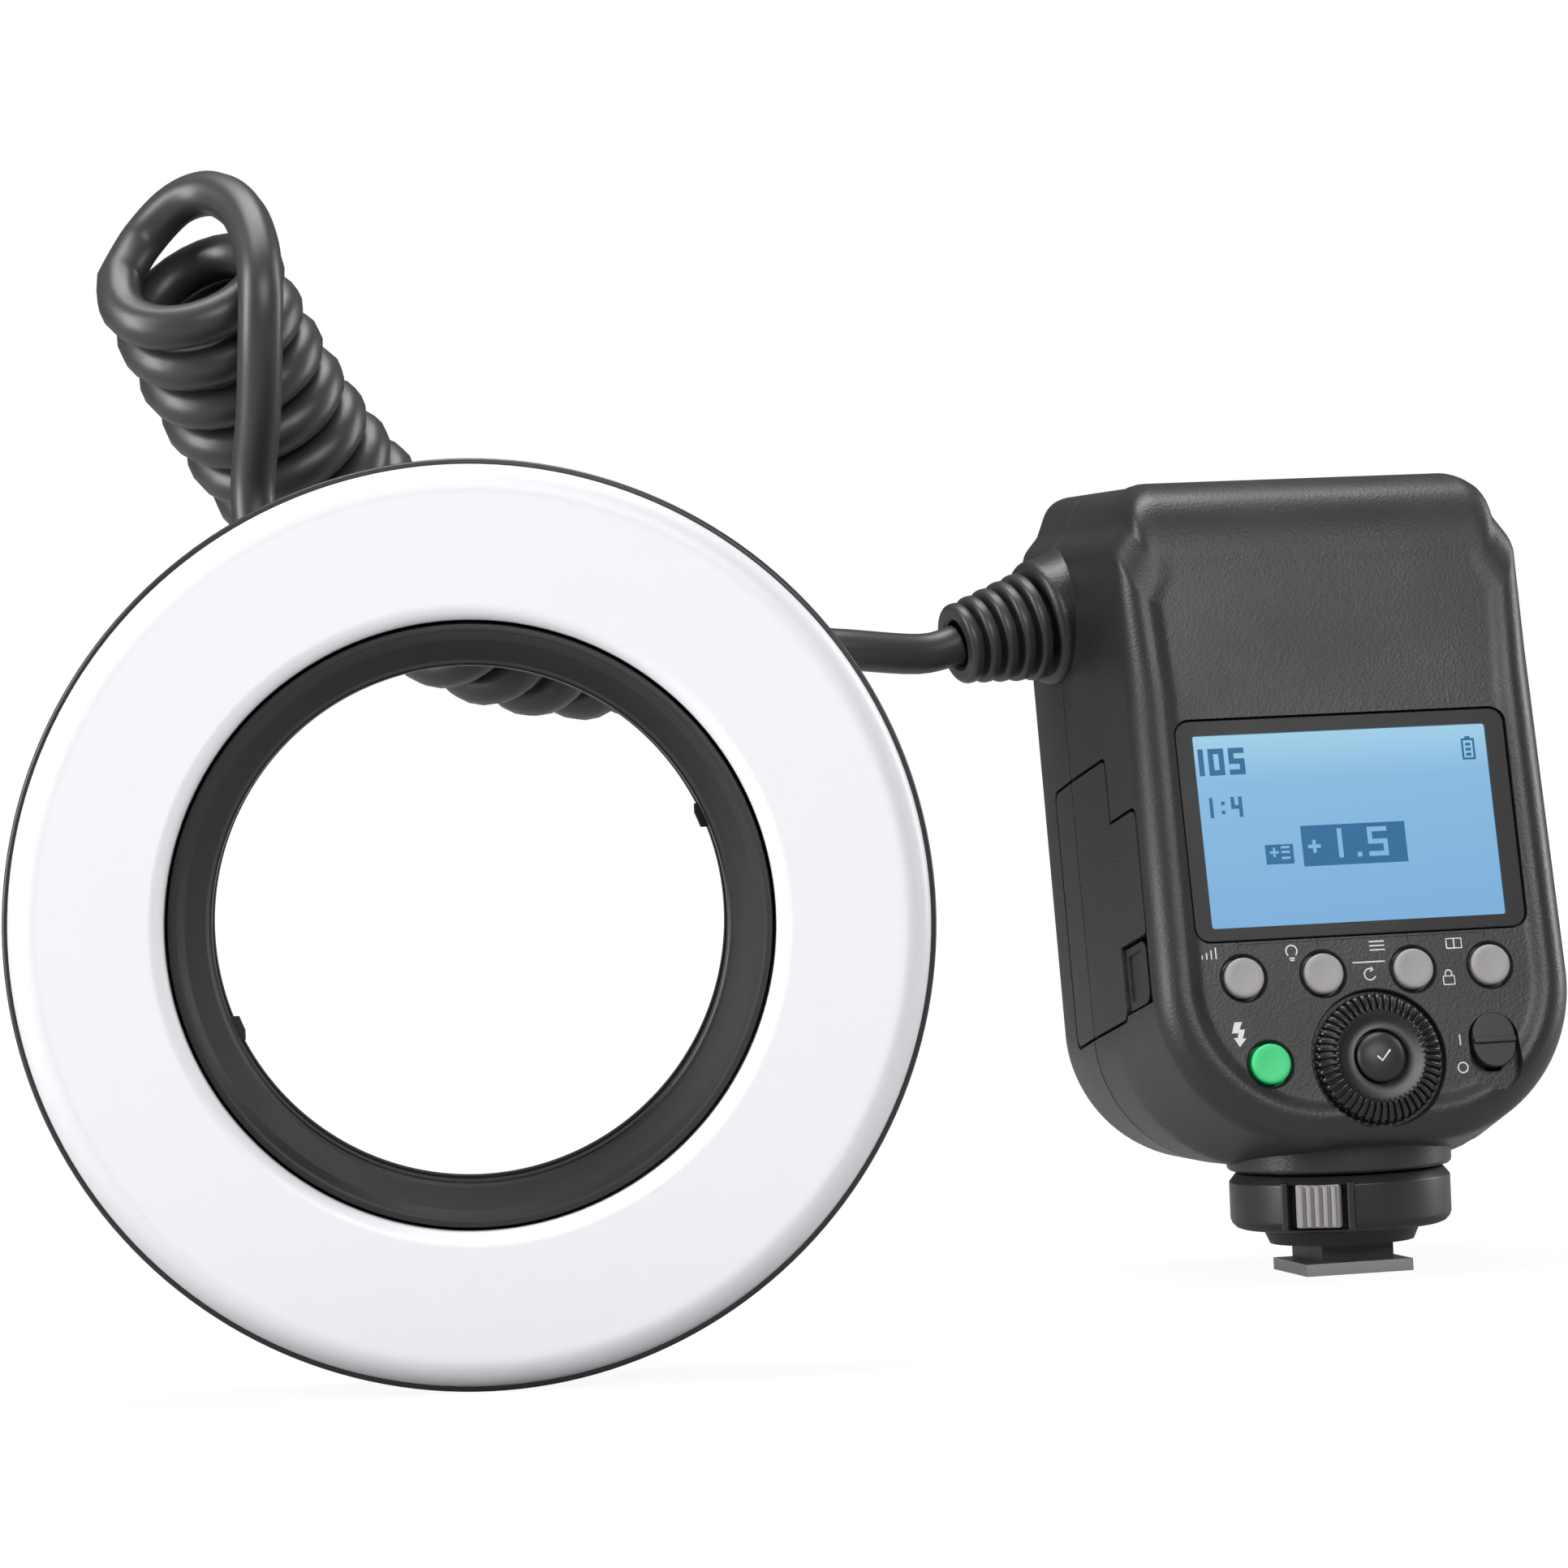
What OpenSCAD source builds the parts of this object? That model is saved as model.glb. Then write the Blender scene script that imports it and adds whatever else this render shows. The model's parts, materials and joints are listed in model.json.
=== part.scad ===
// Macro ring flash: a ring-shaped flash head, a curly cord and a shoe-mounted control unit.
// Millimetres. +Z is up along the shoe, the display faces -Y, the origin is the bottom centre of the foot.

/* [Ring head] */
// Outside diameter of the ring head
ring_od = 136; // [126:1:150]
// Clear diameter of the lens socket
bore_d = 76; // [70:0.5:78]
// Rear face to the front rim of the bezel
rim_depth = 24; // [22:0.5:28]
// How far the diffuser stands out of the rim
diffuser_crown = 3; // [1.5:0.5:5]
// Depth of the rear housing
split_depth = 14; // [13.5:0.5:16]
// Wall of the ring housings
ring_wall = 2; // [1.6:0.1:3]
// Floor of the rear housing
ring_floor = 2.2; // [1.8:0.1:2.4]
// Wall of the lens socket
socket_wall = 2.4; // [2:0.1:3]
// How far the socket flange stands out behind the ring
socket_flange_t = 2.5; // [1.5:0.1:4]
// Outside diameter of the socket flange
socket_flange_d = 94; // [90:1:100]
// Diameter of the light baffle at the front
baffle_d = 88; // [86:0.5:92]
// Wall of the light baffle
baffle_wall = 1.5; // [1.2:0.1:2]
// Number of stray-light grooves inside the baffle
baffle_grooves = 11; // [6:1:14]
// Thickness of the diffuser
diffuser_t = 2; // [1.4:0.1:2.4]
// Roll at the outer edge of the diffuser
diffuser_roll = 4.5; // [3:0.5:6]
// Thickness of the reflector
reflector_t = 0.8; // [0.5:0.1:1.2]
// Diameter of the flash tubes
tube_d = 6; // [4:0.5:7]
// Distance of the flash tubes from the edge of the ring
tube_inset = 11.5; // [10:0.5:13]
// Sweep of each flash tube in degrees
tube_sweep = 140; // [120:2:142]
// Diameter of the latch pivot posts
pivot_d = 4.4; // [3:0.2:5]
// Distance of the latch pivots from the edge of the ring
pivot_inset = 11; // [10:0.5:12]
// Thickness of the latch levers
lever_t = 4; // [3:0.2:4.2]

/* [Cord] */
// Diameter of the cord
cord_d = 6.9; // [6:0.1:6.9]
// Mean radius of the curls
curl_r = 10.8; // [10:0.1:10.9]
// Number of curls
curls = 14.7; // [13.7:1:14.7]
// Share by which the pitch grows along the coil
pitch_growth = 0.08; // [0.07:0.01:0.09]
// Length of the strain relief at the ring
ring_relief_len = 15; // [12:0.5:16]
// Length of the ribbed strain relief at the control unit
unit_relief_len = 15; // [12:0.5:18]
// Ribs of the strain relief at the control unit
relief_ribs = 5; // [4:1:6]

/* [Control unit body] */
// Width of the body
body_w = 74.4; // [72:0.4:80]
// Depth of the body, square to the display face
body_d = 60; // [56:0.5:64]
// Height of the flat underside above the shoe sole
body_bottom = 18; // [18:0.5:19]
// Height of the top above the shoe sole
body_top = 132; // [128:0.5:140]
// Lean of the body to the rear in degrees
lean = 12; // [10:0.5:13]
// Wall of the shells
shell_wall = 2; // [1.8:0.1:2.2]
// Depth of the seam between the shells behind the display face
seam_d = 36; // [35:0.5:38]
// Rounding of the front edges
front_round = 3; // [2.5:0.5:4]

/* [Display and keys] */
// Width of the display window
window_w = 57; // [54:0.5:59]
// Height of the display window
window_h = 37; // [35:0.5:38]
// Thickness of the display window
window_t = 1.4; // [1:0.1:1.5]
// Diameter of the round keys
key_d = 6.6; // [5.5:0.1:7]
// How far the keys stand out of the face
key_rise = 0.9; // [0.5:0.1:1.5]
// Travel of the keys
key_travel = 0.6; // [0.3:0.1:0.6]
// Distance between the first and the last key of the row
key_row = 42.4; // [40:0.2:43]
// Diameter of the control dial
dial_d = 21.6; // [20:0.2:22]
// How far the dial stands out of the face
dial_rise = 1.7; // [1.2:0.1:2.4]
// Grip ridges on the dial
dial_ridges = 48; // [36:4:52]
// Diameter of the hub that runs in the front shell
hub_d = 13.6; // [13:0.2:14]
// Diameter of the centre key in the dial
set_d = 8.4; // [7.6:0.1:8.6]
// Travel of the power switch
switch_travel = 3.8; // [3:0.2:3.8]

/* [Battery] */
// Height of the battery pack
pack_h = 41; // [40.6:0.1:41.4]
// Depth of the battery pack
pack_d = 22.5; // [22:0.1:23]
// Length of the battery pack behind its end cap
pack_l = 65; // [64:0.5:65.5]
// Diameter of a cell
cell_d = 18.3; // [18:0.1:18.4]
// Travel of the battery latch
latch_travel = 2; // [1:0.1:2]

/* [Shoe] */
// Width of the shoe foot
foot_w = 18.5; // [18:0.1:18.6]
// Length of the shoe foot
foot_l = 18; // [17:0.1:18.5]
// Thickness of the shoe foot
foot_t = 2; // [1.8:0.05:2.1]
// Width of the pedestal between the shoe rails
pedestal_w = 12.4; // [11.5:0.1:12.6]
// Diameter of the lock collar
collar_d = 36.8; // [35:0.2:38]
// Diameter of the core on which the lock collar turns
core_d = 24; // [22:0.5:25]
// Diameter of the shoe lock pin
pin_d = 2.4; // [2:0.1:2.6]

/* [Fits] */
// Gap between pieces that move past each other
gap = 0.35; // [0.3:0.05:0.4]
// Radial running clearance of turning fits
run_c = 0.08; // [0.04:0.01:0.1]
// Gap between seated pieces
seat = 0.1; // [0.05:0.01:0.15]

/* [Hidden] */
$fn = 48;
// Node to draw, or all of them

// Colours
c_black = [0.13, 0.13, 0.14];
c_dark = [0.2, 0.2, 0.22];
c_grey = [0.65, 0.65, 0.64];
c_white = [0.94, 0.95, 0.98];
c_glass = [0.7, 0.8, 0.85];
c_steel = [0.62, 0.62, 0.63];
c_brass = [0.78, 0.63, 0.32];
c_board = [0.1, 0.35, 0.2];
c_blue = [0.45, 0.68, 0.85];
c_green = [0.2, 0.8, 0.42];

// Place of the ring: its rim stands at the height of the shoe sole and its axis looks at the photographer
ring_pos = [-160, -78, ring_od / 2];
ring_yaw = -10.5;
ring_r = ring_od / 2;
pivot_r = ring_r - pivot_inset;
bore_r = bore_d / 2;
socket_r = bore_r + socket_wall;
inner_r = socket_r + 0.2;
inner_wall = 1.8;
baffle_z = split_depth;
seat_r = ring_r - 1.2;
diff_in = baffle_d / 2 + 0.5;
ledge_z = 17;
tube_r = ring_r - tube_inset;
trough_in = diff_in + diffuser_t + 1.5;
trough_out = tube_r + tube_d / 2 + 0.5;
floor_z = 8.5;
tube_z = floor_z + tube_d / 2 + 0.6;
relief_v = 45;
lever_z = ring_floor + 0.4;
screw_r = 52;
claw_room = 1.6;

module ring_frame() {
    translate(ring_pos) rotate([0, 0, ring_yaw]) rotate([90, 0, 0]) children();
}

// Points of an arc, from angle a to angle b
function arc(c, r, a, b, n) = [for (i = [0:n]) c + r * [cos(a + (b - a) * i / n), sin(a + (b - a) * i / n)]];

module sector(r0, r1, z0, z1, a, sweep) {
    rotate([0, 0, a - sweep / 2]) rotate_extrude(angle = sweep, $fn = 120)
        translate([r0, z0]) square([r1 - r0, z1 - z0]);
}

// Ring head
module ring_rear_housing() color(c_black) ring_frame() {
    difference() {
        union() {
            rotate_extrude($fn = 160) polygon(concat(
                [[inner_r, 0]], arc([ring_r - 3, 3], 3, -90, 0, 6),
                [[ring_r, split_depth], [ring_r - ring_wall, split_depth], [ring_r - ring_wall, ring_floor],
                 [inner_r + inner_wall, ring_floor], [inner_r + inner_wall, baffle_z], [inner_r, baffle_z]]));
            for (a = [45:90:315]) rotate([0, 0, a]) translate([screw_r, 0, 1])
                cylinder(r = 3, h = floor_z - reflector_t - 1);
            for (s = [0, 180]) rotate([0, 0, s]) translate([pivot_r, 0, 1]) cylinder(d = pivot_d, h = 6.5);
            for (r = [inner_r + inner_wall + 5.6, ring_r - 7])
                sector(r, r + 1.5, ring_floor - 0.2, ring_floor + 1.2, 90, 64);
            difference() {
                translate([-37, relief_v - 10.4, -12]) cube([15, 10.4, 12.4]);
                translate([0, 0, -socket_flange_t - gap])
                    cylinder(r = socket_flange_d / 2 + seat, h = socket_flange_t + gap);
            }
        }
        for (a = [45:90:315]) rotate([0, 0, a]) translate([screw_r, 0, -1]) {
            cylinder(d = 2.5, h = 10);
            cylinder(d = 5, h = 2.8);
        }
        for (s = [0, 180]) rotate([0, 0, s]) {
            translate([ring_r - 5, -19.4, lever_z - gap]) cube([8, 12.2, lever_t + 2 * gap]);
            translate([36, 11.9, lever_z - gap]) cube([8, 7.3, lever_t + 2 * gap]);
        }
    }
}

module ring_front_bezel() color(c_black) ring_frame() rotate_extrude($fn = 160) polygon([
    [ring_r, split_depth], [ring_r, rim_depth - 0.8], [ring_r - 0.4, rim_depth], [seat_r + seat, rim_depth],
    [seat_r + seat, ledge_z], [seat_r - 3.6, ledge_z], [seat_r - 3.6, ledge_z - 1.6],
    [ring_r - ring_wall, ledge_z - 1.6], [ring_r - ring_wall, split_depth]]);

module ring_diffuser() color(c_white) ring_frame() {
    crown = rim_depth + diffuser_crown;
    rotate_extrude($fn = 160) polygon(concat(
        [[seat_r, ledge_z]],
        arc([seat_r - diffuser_roll, crown - diffuser_roll], diffuser_roll, 0, 90, 8),
        arc([diff_in + 2.4, crown - 2.4], 2.4, 90, 180, 6),
        [[diff_in, ledge_z + 1], [diff_in + diffuser_t, ledge_z + 1], [diff_in + diffuser_t, crown - 3],
         [diff_in + diffuser_t + 1, crown - diffuser_t], [seat_r - diffuser_roll, crown - diffuser_t]],
        arc([seat_r - diffuser_roll, crown - diffuser_roll], diffuser_roll - diffuser_t, 90, 0, 6),
        [[seat_r - diffuser_t, ledge_z]]));
}

baffle_r0 = bore_r + 0.3;
baffle_r1 = baffle_d / 2 - 1.4;
baffle_top = rim_depth + 0.6;
groove_z = baffle_z + 1.2;
groove_p = (baffle_top - 2.4 - groove_z) / baffle_grooves;
function cone(z) = baffle_r0 + (baffle_r1 - baffle_r0) * (z - baffle_z) / (baffle_top - baffle_z);
function groove(i, s) = groove_z + groove_p * (i + s);
module baffle_ring() color(c_black) ring_frame() rotate_extrude($fn = 160) polygon(concat(
    [[baffle_r0, baffle_z], [inner_r + inner_wall, baffle_z], [inner_r + inner_wall, groove_z],
     [cone(groove_z) + baffle_wall + 0.5, groove_z], [baffle_r1 + baffle_wall - 0.2, baffle_top - 2.4],
     [baffle_d / 2, baffle_top - 2.4], [baffle_d / 2, baffle_top - 0.5], [baffle_d / 2 - 0.5, baffle_top],
     [baffle_r1 + 0.4, baffle_top], [baffle_r1, baffle_top - 0.6]],
    [for (i = [baffle_grooves - 1:-1:0]) each [[cone(groove(i, 0.9)), groove(i, 0.9)],
        [cone(groove(i, 0)) + 0.45, groove(i, 0.5)], [cone(groove(i, 0)), groove(i, 0)]]]));

module lens_socket() color(c_dark) ring_frame() difference() {
    flange_r = socket_flange_d / 2;
    rotate_extrude($fn = 160) polygon([[bore_r, -socket_flange_t], [flange_r - 0.6, -socket_flange_t],
        [flange_r, -socket_flange_t + 0.6], [flange_r, 0], [socket_r, 0], [socket_r, baffle_z - 0.3],
        [bore_r, baffle_z - 0.3], [bore_r, lever_z + lever_t + claw_room],
        [bore_r + 0.6, lever_z + lever_t + claw_room], [bore_r + 0.6, lever_z - 2 * gap],
        [bore_r, lever_z - 2 * gap]]);
    for (s = [0, 180]) rotate([0, 0, s]) translate([34, 11.9, lever_z - gap])
        cube([8, 7.3, lever_t + 2 * gap]);
}

module ring_reflector() color(c_steel) ring_frame() difference() {
    rotate_extrude($fn = 120) polygon([
        [diff_in + diffuser_t + 0.4, ledge_z + 0.5], [trough_in, floor_z - reflector_t],
        [trough_out + 0.6, floor_z - reflector_t],
        [trough_out + 2.4, ledge_z - 1.6 - reflector_t],
        [ring_r - ring_wall - 0.3, ledge_z - 1.6 - reflector_t],
        [ring_r - ring_wall - 0.3, ledge_z - 1.6], [trough_out + 1.7, ledge_z - 1.6],
        [trough_out, floor_z], [trough_in + 0.6, floor_z],
        [diff_in + diffuser_t + 1.2, ledge_z + 0.5]]);
    for (a = [45:90:315]) rotate([0, 0, a]) translate([screw_r, 0, 5]) cylinder(d = 2.8, h = 6);
}

module flash_tube(a) color(c_glass) ring_frame()
    rotate([0, 0, a - tube_sweep / 2]) rotate_extrude(angle = tube_sweep, $fn = 120)
        translate([tube_r, tube_z]) circle(d = tube_d, $fn = 24);
module flash_tube_a() flash_tube(0);
module flash_tube_b() flash_tube(180);

module tube_end_caps() color(c_white) ring_frame()
    for (m = [0, 180], s = [-1, 1])
        sector(tube_r - 3.6, tube_r + 3.4, floor_z, floor_z + tube_d + 1.2, m + s * (tube_sweep / 2 + 3), 6);

module led_boards() color(c_board) ring_frame()
    for (a = [90, 270]) sector(tube_r - 6, tube_r + 3, floor_z, floor_z + 1.2, a, 22);

module modelling_leds() color([0.95, 0.9, 0.6]) ring_frame()
    for (a = [82, 90, 98, 262, 270, 278]) rotate([0, 0, a]) translate([tube_r - 3, -1.5, floor_z + 1.2])
        cube([3, 3, 1.4]);

module ring_board() color(c_board) ring_frame()
    sector(inner_r + inner_wall + 2.6, ring_r - 4, ring_floor + 1.2, ring_floor + 2.8, 90, 60);

// A latch lever: the pad in the rim is pressed in, and the claw leaves the lens socket
claw_len = pivot_r - bore_r + 4;
module latch() {
    difference() {
        union() {
            cylinder(r = 4.2, h = lever_t);
            translate([-2, -18, 0]) cube([4, 36, lever_t]);
            translate([0, -18, 0]) cube([pivot_inset, 10, lever_t]);
            translate([-claw_len, 12.5, 0]) cube([claw_len, 3.5, lever_t]);
        }
        translate([0, 0, -1]) cylinder(r = pivot_d / 2 + run_c, h = lever_t + 2);
        translate([-pivot_r, 0, -1]) cylinder(r = bore_r - 1, h = lever_t + 2, $fn = 120);
        translate([-pivot_r, 0, -1]) difference() {
            cylinder(r = ring_r + 12, h = lever_t + 2, $fn = 120);
            translate([0, 0, -1]) cylinder(r = ring_r - 0.3, h = lever_t + 4, $fn = 120);
        }
    }
}
module ring_latch_right() color(c_dark) ring_frame() translate([pivot_r, 0, lever_z]) latch();
module ring_latch_left() color(c_dark) ring_frame() rotate([0, 0, 180])
    translate([pivot_r, 0, lever_z]) latch();

module latch_springs() color(c_steel) ring_frame()
    for (s = [0, 180]) rotate([0, 0, s]) translate([pivot_r, 0, lever_z + lever_t + 0.3]) difference() {
        cylinder(r = pivot_d / 2 + 1.6, h = 0.6);
        translate([0, 0, -1]) cylinder(r = pivot_d / 2 + 0.05, h = 3);
    }

module screw(d, l, head_d, head_h) {
    difference() {
        union() {
            cylinder(d = d, h = l);
            cylinder(d = head_d, h = head_h);
        }
        translate([-head_d * 0.36, -0.3, -1]) cube([head_d * 0.72, 0.6, 1.6]);
        translate([-0.3, -head_d * 0.36, -1]) cube([0.6, head_d * 0.72, 1.6]);
    }
}
module ring_screws() color(c_steel) ring_frame()
    for (a = [45:90:315]) rotate([0, 0, a]) translate([screw_r, 0, 0.2]) screw(2.4, floor_z - 0.5, 4.6, 1.6);

module ring_cord_relief() color(c_black) ring_frame() translate([-29.5, relief_v, -6.5]) rotate([-90, 0, 0])
    rotate_extrude() polygon(concat([[0, 0], [5.6, 0], [5.6, 2.5], [5, 3.2]],
        [for (i = [0:2]) each [[4.9 - 0.1 * i, 4.6 + 3.2 * i], [4.3, 5 + 3.2 * i], [4.3, 6 + 3.2 * i],
            [4.8 - 0.1 * i, 6.4 + 3.2 * i]]],
        [[4.5, ring_relief_len - 0.4], [4.1, ring_relief_len], [0, ring_relief_len]]));

// Cord: the axis of the coil is one parabolic arc, and the curls wind about it
coil_a = [-195.5, -59.2, 166.8];
coil_q = [-161.6, -16.6, 104.8];
coil_b = [-113, 0, 112];
coil_phase = 233.4;
lead = cord_d;
function bez(u) = (1 - u) * (1 - u) * coil_a + 2 * u * (1 - u) * coil_q + u * u * coil_b;
function bez_d(u) = 2 * (1 - u) * (coil_q - coil_a) + 2 * u * (coil_b - coil_q);
function unitv(a) = a / norm(a);
coil_n = unitv(cross(bez_d(0), bez_d(1)));
function arc_sum(k, n) = k == 0 ? [[0, 0]] : let (p = arc_sum(k - 1, n))
    concat(p, [[p[k - 1][0] + norm(bez(k / n) - bez((k - 1) / n)), k / n]]);
coil_table = arc_sum(64, 64);
coil_len = coil_table[64][0];
function coil_u(k) = let (t = k / curls) lookup(coil_len * (t - pitch_growth * t * (1 - t)), coil_table);
function coil_side(u) = cross(coil_n, unitv(bez_d(u)));
function coil_rad(k) = let (u = coil_u(k), p = coil_phase + 360 * k) cos(p) * coil_n + sin(p) * coil_side(u);
function coil_pt(k) = bez(coil_u(k)) + curl_r * coil_rad(k);
function coil_tan(k) = unitv(coil_pt(min(k + 0.01, curls)) - coil_pt(max(k - 0.01, 0)));

// A tube through ring centres p with directions t and side vectors n
function tube_pts(p, t, n, r, m) = [for (i = [0:len(p) - 1]) let (b = cross(t[i], n[i])) each
    [for (j = [0:m - 1]) p[i] + r * (cos(360 * j / m) * n[i] + sin(360 * j / m) * b)]];
module tube(p, t, n, r, m) {
    c = len(p);
    polyhedron(points = concat(tube_pts(p, t, n, r, m), [p[0], p[c - 1]]), faces = concat(
        [for (i = [0:c - 2], j = [0:m - 1]) [i * m + j, (i + 1) * m + j, (i + 1) * m + (j + 1) % m]],
        [for (i = [0:c - 2], j = [0:m - 1]) [i * m + j, (i + 1) * m + (j + 1) % m, i * m + (j + 1) % m]],
        [for (j = [0:m - 1]) [c * m, j, (j + 1) % m]],
        [for (j = [0:m - 1]) [c * m + 1, (c - 1) * m + (j + 1) % m, (c - 1) * m + j]]));
}
function side_of(t, ref) = unitv(cross(t, ref));

coil_steps = round(curls * 8);
coil_ks = [for (i = [0:coil_steps]) curls * i / coil_steps];
coil_start = coil_pt(0) - 3 * coil_tan(0);
coil_end = coil_pt(curls) + lead * coil_tan(curls);
coil_ps = concat([coil_start], [for (k = coil_ks) coil_pt(k)], [coil_end]);
coil_ts = concat([coil_tan(0)], [for (k = coil_ks) coil_tan(k)], [coil_tan(curls)]);
coil_rs = concat([coil_rad(0)], [for (k = coil_ks) coil_rad(k)], [coil_rad(curls)]);
coil_ns = [for (i = [0:len(coil_ts) - 1]) unitv(coil_rs[i] - (coil_rs[i] * coil_ts[i]) * coil_ts[i])];
// Least gap between one curl and the next, measured between ring centres
coil_gap = min([for (i = [1:coil_steps - 5]) min([for (j = [i + 5:min(i + 12, coil_steps + 1)])
    norm(coil_ps[i] - coil_ps[j])])]) - cord_d;
echo(coil_length = coil_len, coil_gap = coil_gap, start = coil_start, end = coil_end);

module cord_coil() color(c_black) tube(coil_ps, coil_ts, coil_ns, cord_d / 2, 6);

// A smooth run through route points
function spline(a, b, c, d, u) = 0.5 * (2 * b + (c - a) * u + (2 * a - 5 * b + 4 * c - d) * u * u
    + (3 * b - a - 3 * c + d) * u * u * u);
function run_pts(q, n) = let (m = len(q) - 1) concat([for (i = [0:m - 1], k = [0:n - 1])
    spline(q[max(i - 1, 0)], q[i], q[i + 1], q[min(i + 2, m)], k / n)], [q[m]]);
module run(q, ta, tb, ref, n) {
    p = run_pts(q, n);
    c = len(p);
    t = [for (i = [0:c - 1]) i == 0 ? ta : i == c - 1 ? tb : unitv(p[i + 1] - p[i - 1])];
    tube(p, t, [for (v = t) side_of(v, ref)], cord_d / 2, 10);
}

ring_x = [cos(ring_yaw), sin(ring_yaw), 0];
ring_f = [sin(ring_yaw), -cos(ring_yaw), 0];
relief_tip = ring_pos - 29.5 * ring_x - 6.5 * ring_f + [0, 0, relief_v + ring_relief_len];
ring_route = [relief_tip, relief_tip + [0, 0, lead], [-187.2, -70.4, 145], [-187, -73.9, 156],
    [-186.6, -73.8, 163.8], [-186.3, -69.3, 170.4], [-187.3, -62.4, 176.1], [-190.4, -55.4, 179.2],
    [-195.1, -50.8, 178.1], [-200.4, -48.8, 172.8], coil_start];
module cord_ring_run() color(c_black) run(ring_route, [0, 0, 1], coil_tan(0), [1, 0, 0], 5);

unit_boss = [-37.4, 30.5, 110.5];
boss_az = 190;
boss_el = 101;
boss_dir = [sin(boss_el) * cos(boss_az), sin(boss_el) * sin(boss_az), cos(boss_el)];
boss_h = 3;
unit_tip = unit_boss + (boss_h + unit_relief_len) * boss_dir;
unit_route = [coil_end, coil_end + 4 * coil_tan(curls), [-111, 20, 117], [-100, 22, 112.5], [-88, 22, 108.5],
    [-75, 23, 107], unit_tip + lead * boss_dir, unit_tip];
module cord_unit_run() color(c_black) run(unit_route, coil_tan(curls), -boss_dir, [0, 0, 1], 5);

module on_boss() {
    translate(unit_boss) rotate([0, boss_el, boss_az]) children();
}
module unit_cord_relief() color(c_black) on_boss() {
    n = relief_ribs;
    p = unit_relief_len / n;
    rotate_extrude() polygon(concat([[0, -7], [8, -7], [8, -5], [6, -5], [6, boss_h], [8.2, boss_h]],
        [for (i = [0:n - 1]) let (r = 8.8 - 2.1 * i / (n - 1), z = boss_h + p * i)
            each [[r, z + 0.3 * p], [r, z + 0.75 * p], [r - 0.3, z + 0.85 * p], [6 - 0.3 * i, z + 0.86 * p],
                [6 - 0.3 * i, z + p]]],
        [[0, boss_h + unit_relief_len]]));
}

// Control unit: local x to the right, y up the face, z out of the face
face_y = -23.5;
face_z = 30;
module unit() {
    translate([0, face_y, face_z]) rotate([90 - lean, 0, 0]) children();
}
function up_at(z, d) = (z - face_z + d * sin(lean)) / cos(lean);
half_w = body_w / 2;
roll_d = 16;
roll_h = 12;
rear_round = 8;
under_v = -7.2;
draft = 2.1;

// Corners of the outline at depth d for a surface that lies w inside the skin: x, height, radius
function outline(d, w) = let (
        f = d - w,
        e = min(d, seam_d),
        k = half_w - draft * (1 - e / seam_d),
        vb = max(under_v, up_at(body_bottom, d)),
        roll = f < roll_d ? roll_h * (1 - sqrt(1 - pow(1 - f / roll_d, 2))) : 0,
        vt = up_at(body_top, max(f, roll_d)) - roll,
        s2 = min(up_at(body_top - 6.7, d), vt - 5.5),
        s1 = min(up_at(body_top - 10, d), vt - 10),
        rt = min(6, 0.8 * (vt - s2)),
        h = [[k, vb, 27 - 5 * e / seam_d], [k - 1.2, s1, 4], [k - 4.2, s2, 3],
            [k - 5.2 - 0.055 * e, vt, rt]])
    concat(h, [for (i = [3:-1:0]) [-h[i][0], h[i][1], h[i][2]]]);
function edge(x, r) = x >= r ? 0 : r - sqrt(r * r - pow(r - max(x, 0), 2));
function side_inset(d, w) = w + edge(d - w, front_round) + edge(body_d - w - d, rear_round);
function turned(a, b, c) = (b[0] - a[0]) * (c[1] - b[1]) - (b[1] - a[1]) * (c[0] - b[0]) > 0;
function flat(p) = [p[0], p[1]];
function inset_pt(a, b, c, i) = let (u = unitv(flat(a) - flat(b)), w = unitv(flat(c) - flat(b)),
        h = acos(u * w) / 2, s = turned(a, b, c) ? 1 : -1, q = flat(b) + s * unitv(u + w) * i / sin(h))
    [q[0], q[1], max(b[2] - s * i, 0.4)];
function inset_all(p, i) = let (n = len(p)) [for (k = [0:n - 1])
    inset_pt(p[(k + n - 1) % n], p[k], p[(k + 1) % n], i)];
function round_pt(a, b, c, n) = let (u = unitv(flat(a) - flat(b)), w = unitv(flat(c) - flat(b)), r = b[2],
        h = acos(u * w) / 2, m = flat(b) + unitv(u + w) * r / sin(h),
        p = flat(b) + u * r / tan(h) - m, q = flat(b) + w * r / tan(h) - m,
        a0 = atan2(p[1], p[0]), da = atan2(q[1], q[0]) - a0,
        s = da > 180 ? da - 360 : da < -180 ? da + 360 : da)
    [for (i = [0:n]) m + r * [cos(a0 + s * i / n), sin(a0 + s * i / n)]];
function round_all(p, n) = let (c = len(p)) [for (k = [0:c - 1])
    each round_pt(p[(k + c - 1) % c], p[k], p[(k + 1) % c], p[k][2] > 12 ? 2 * n : n)];
function skin_section(d, w) = [for (q = round_all(inset_all(outline(d, w), side_inset(d, w)), 5))
    [q[0], q[1], -d]];

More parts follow.
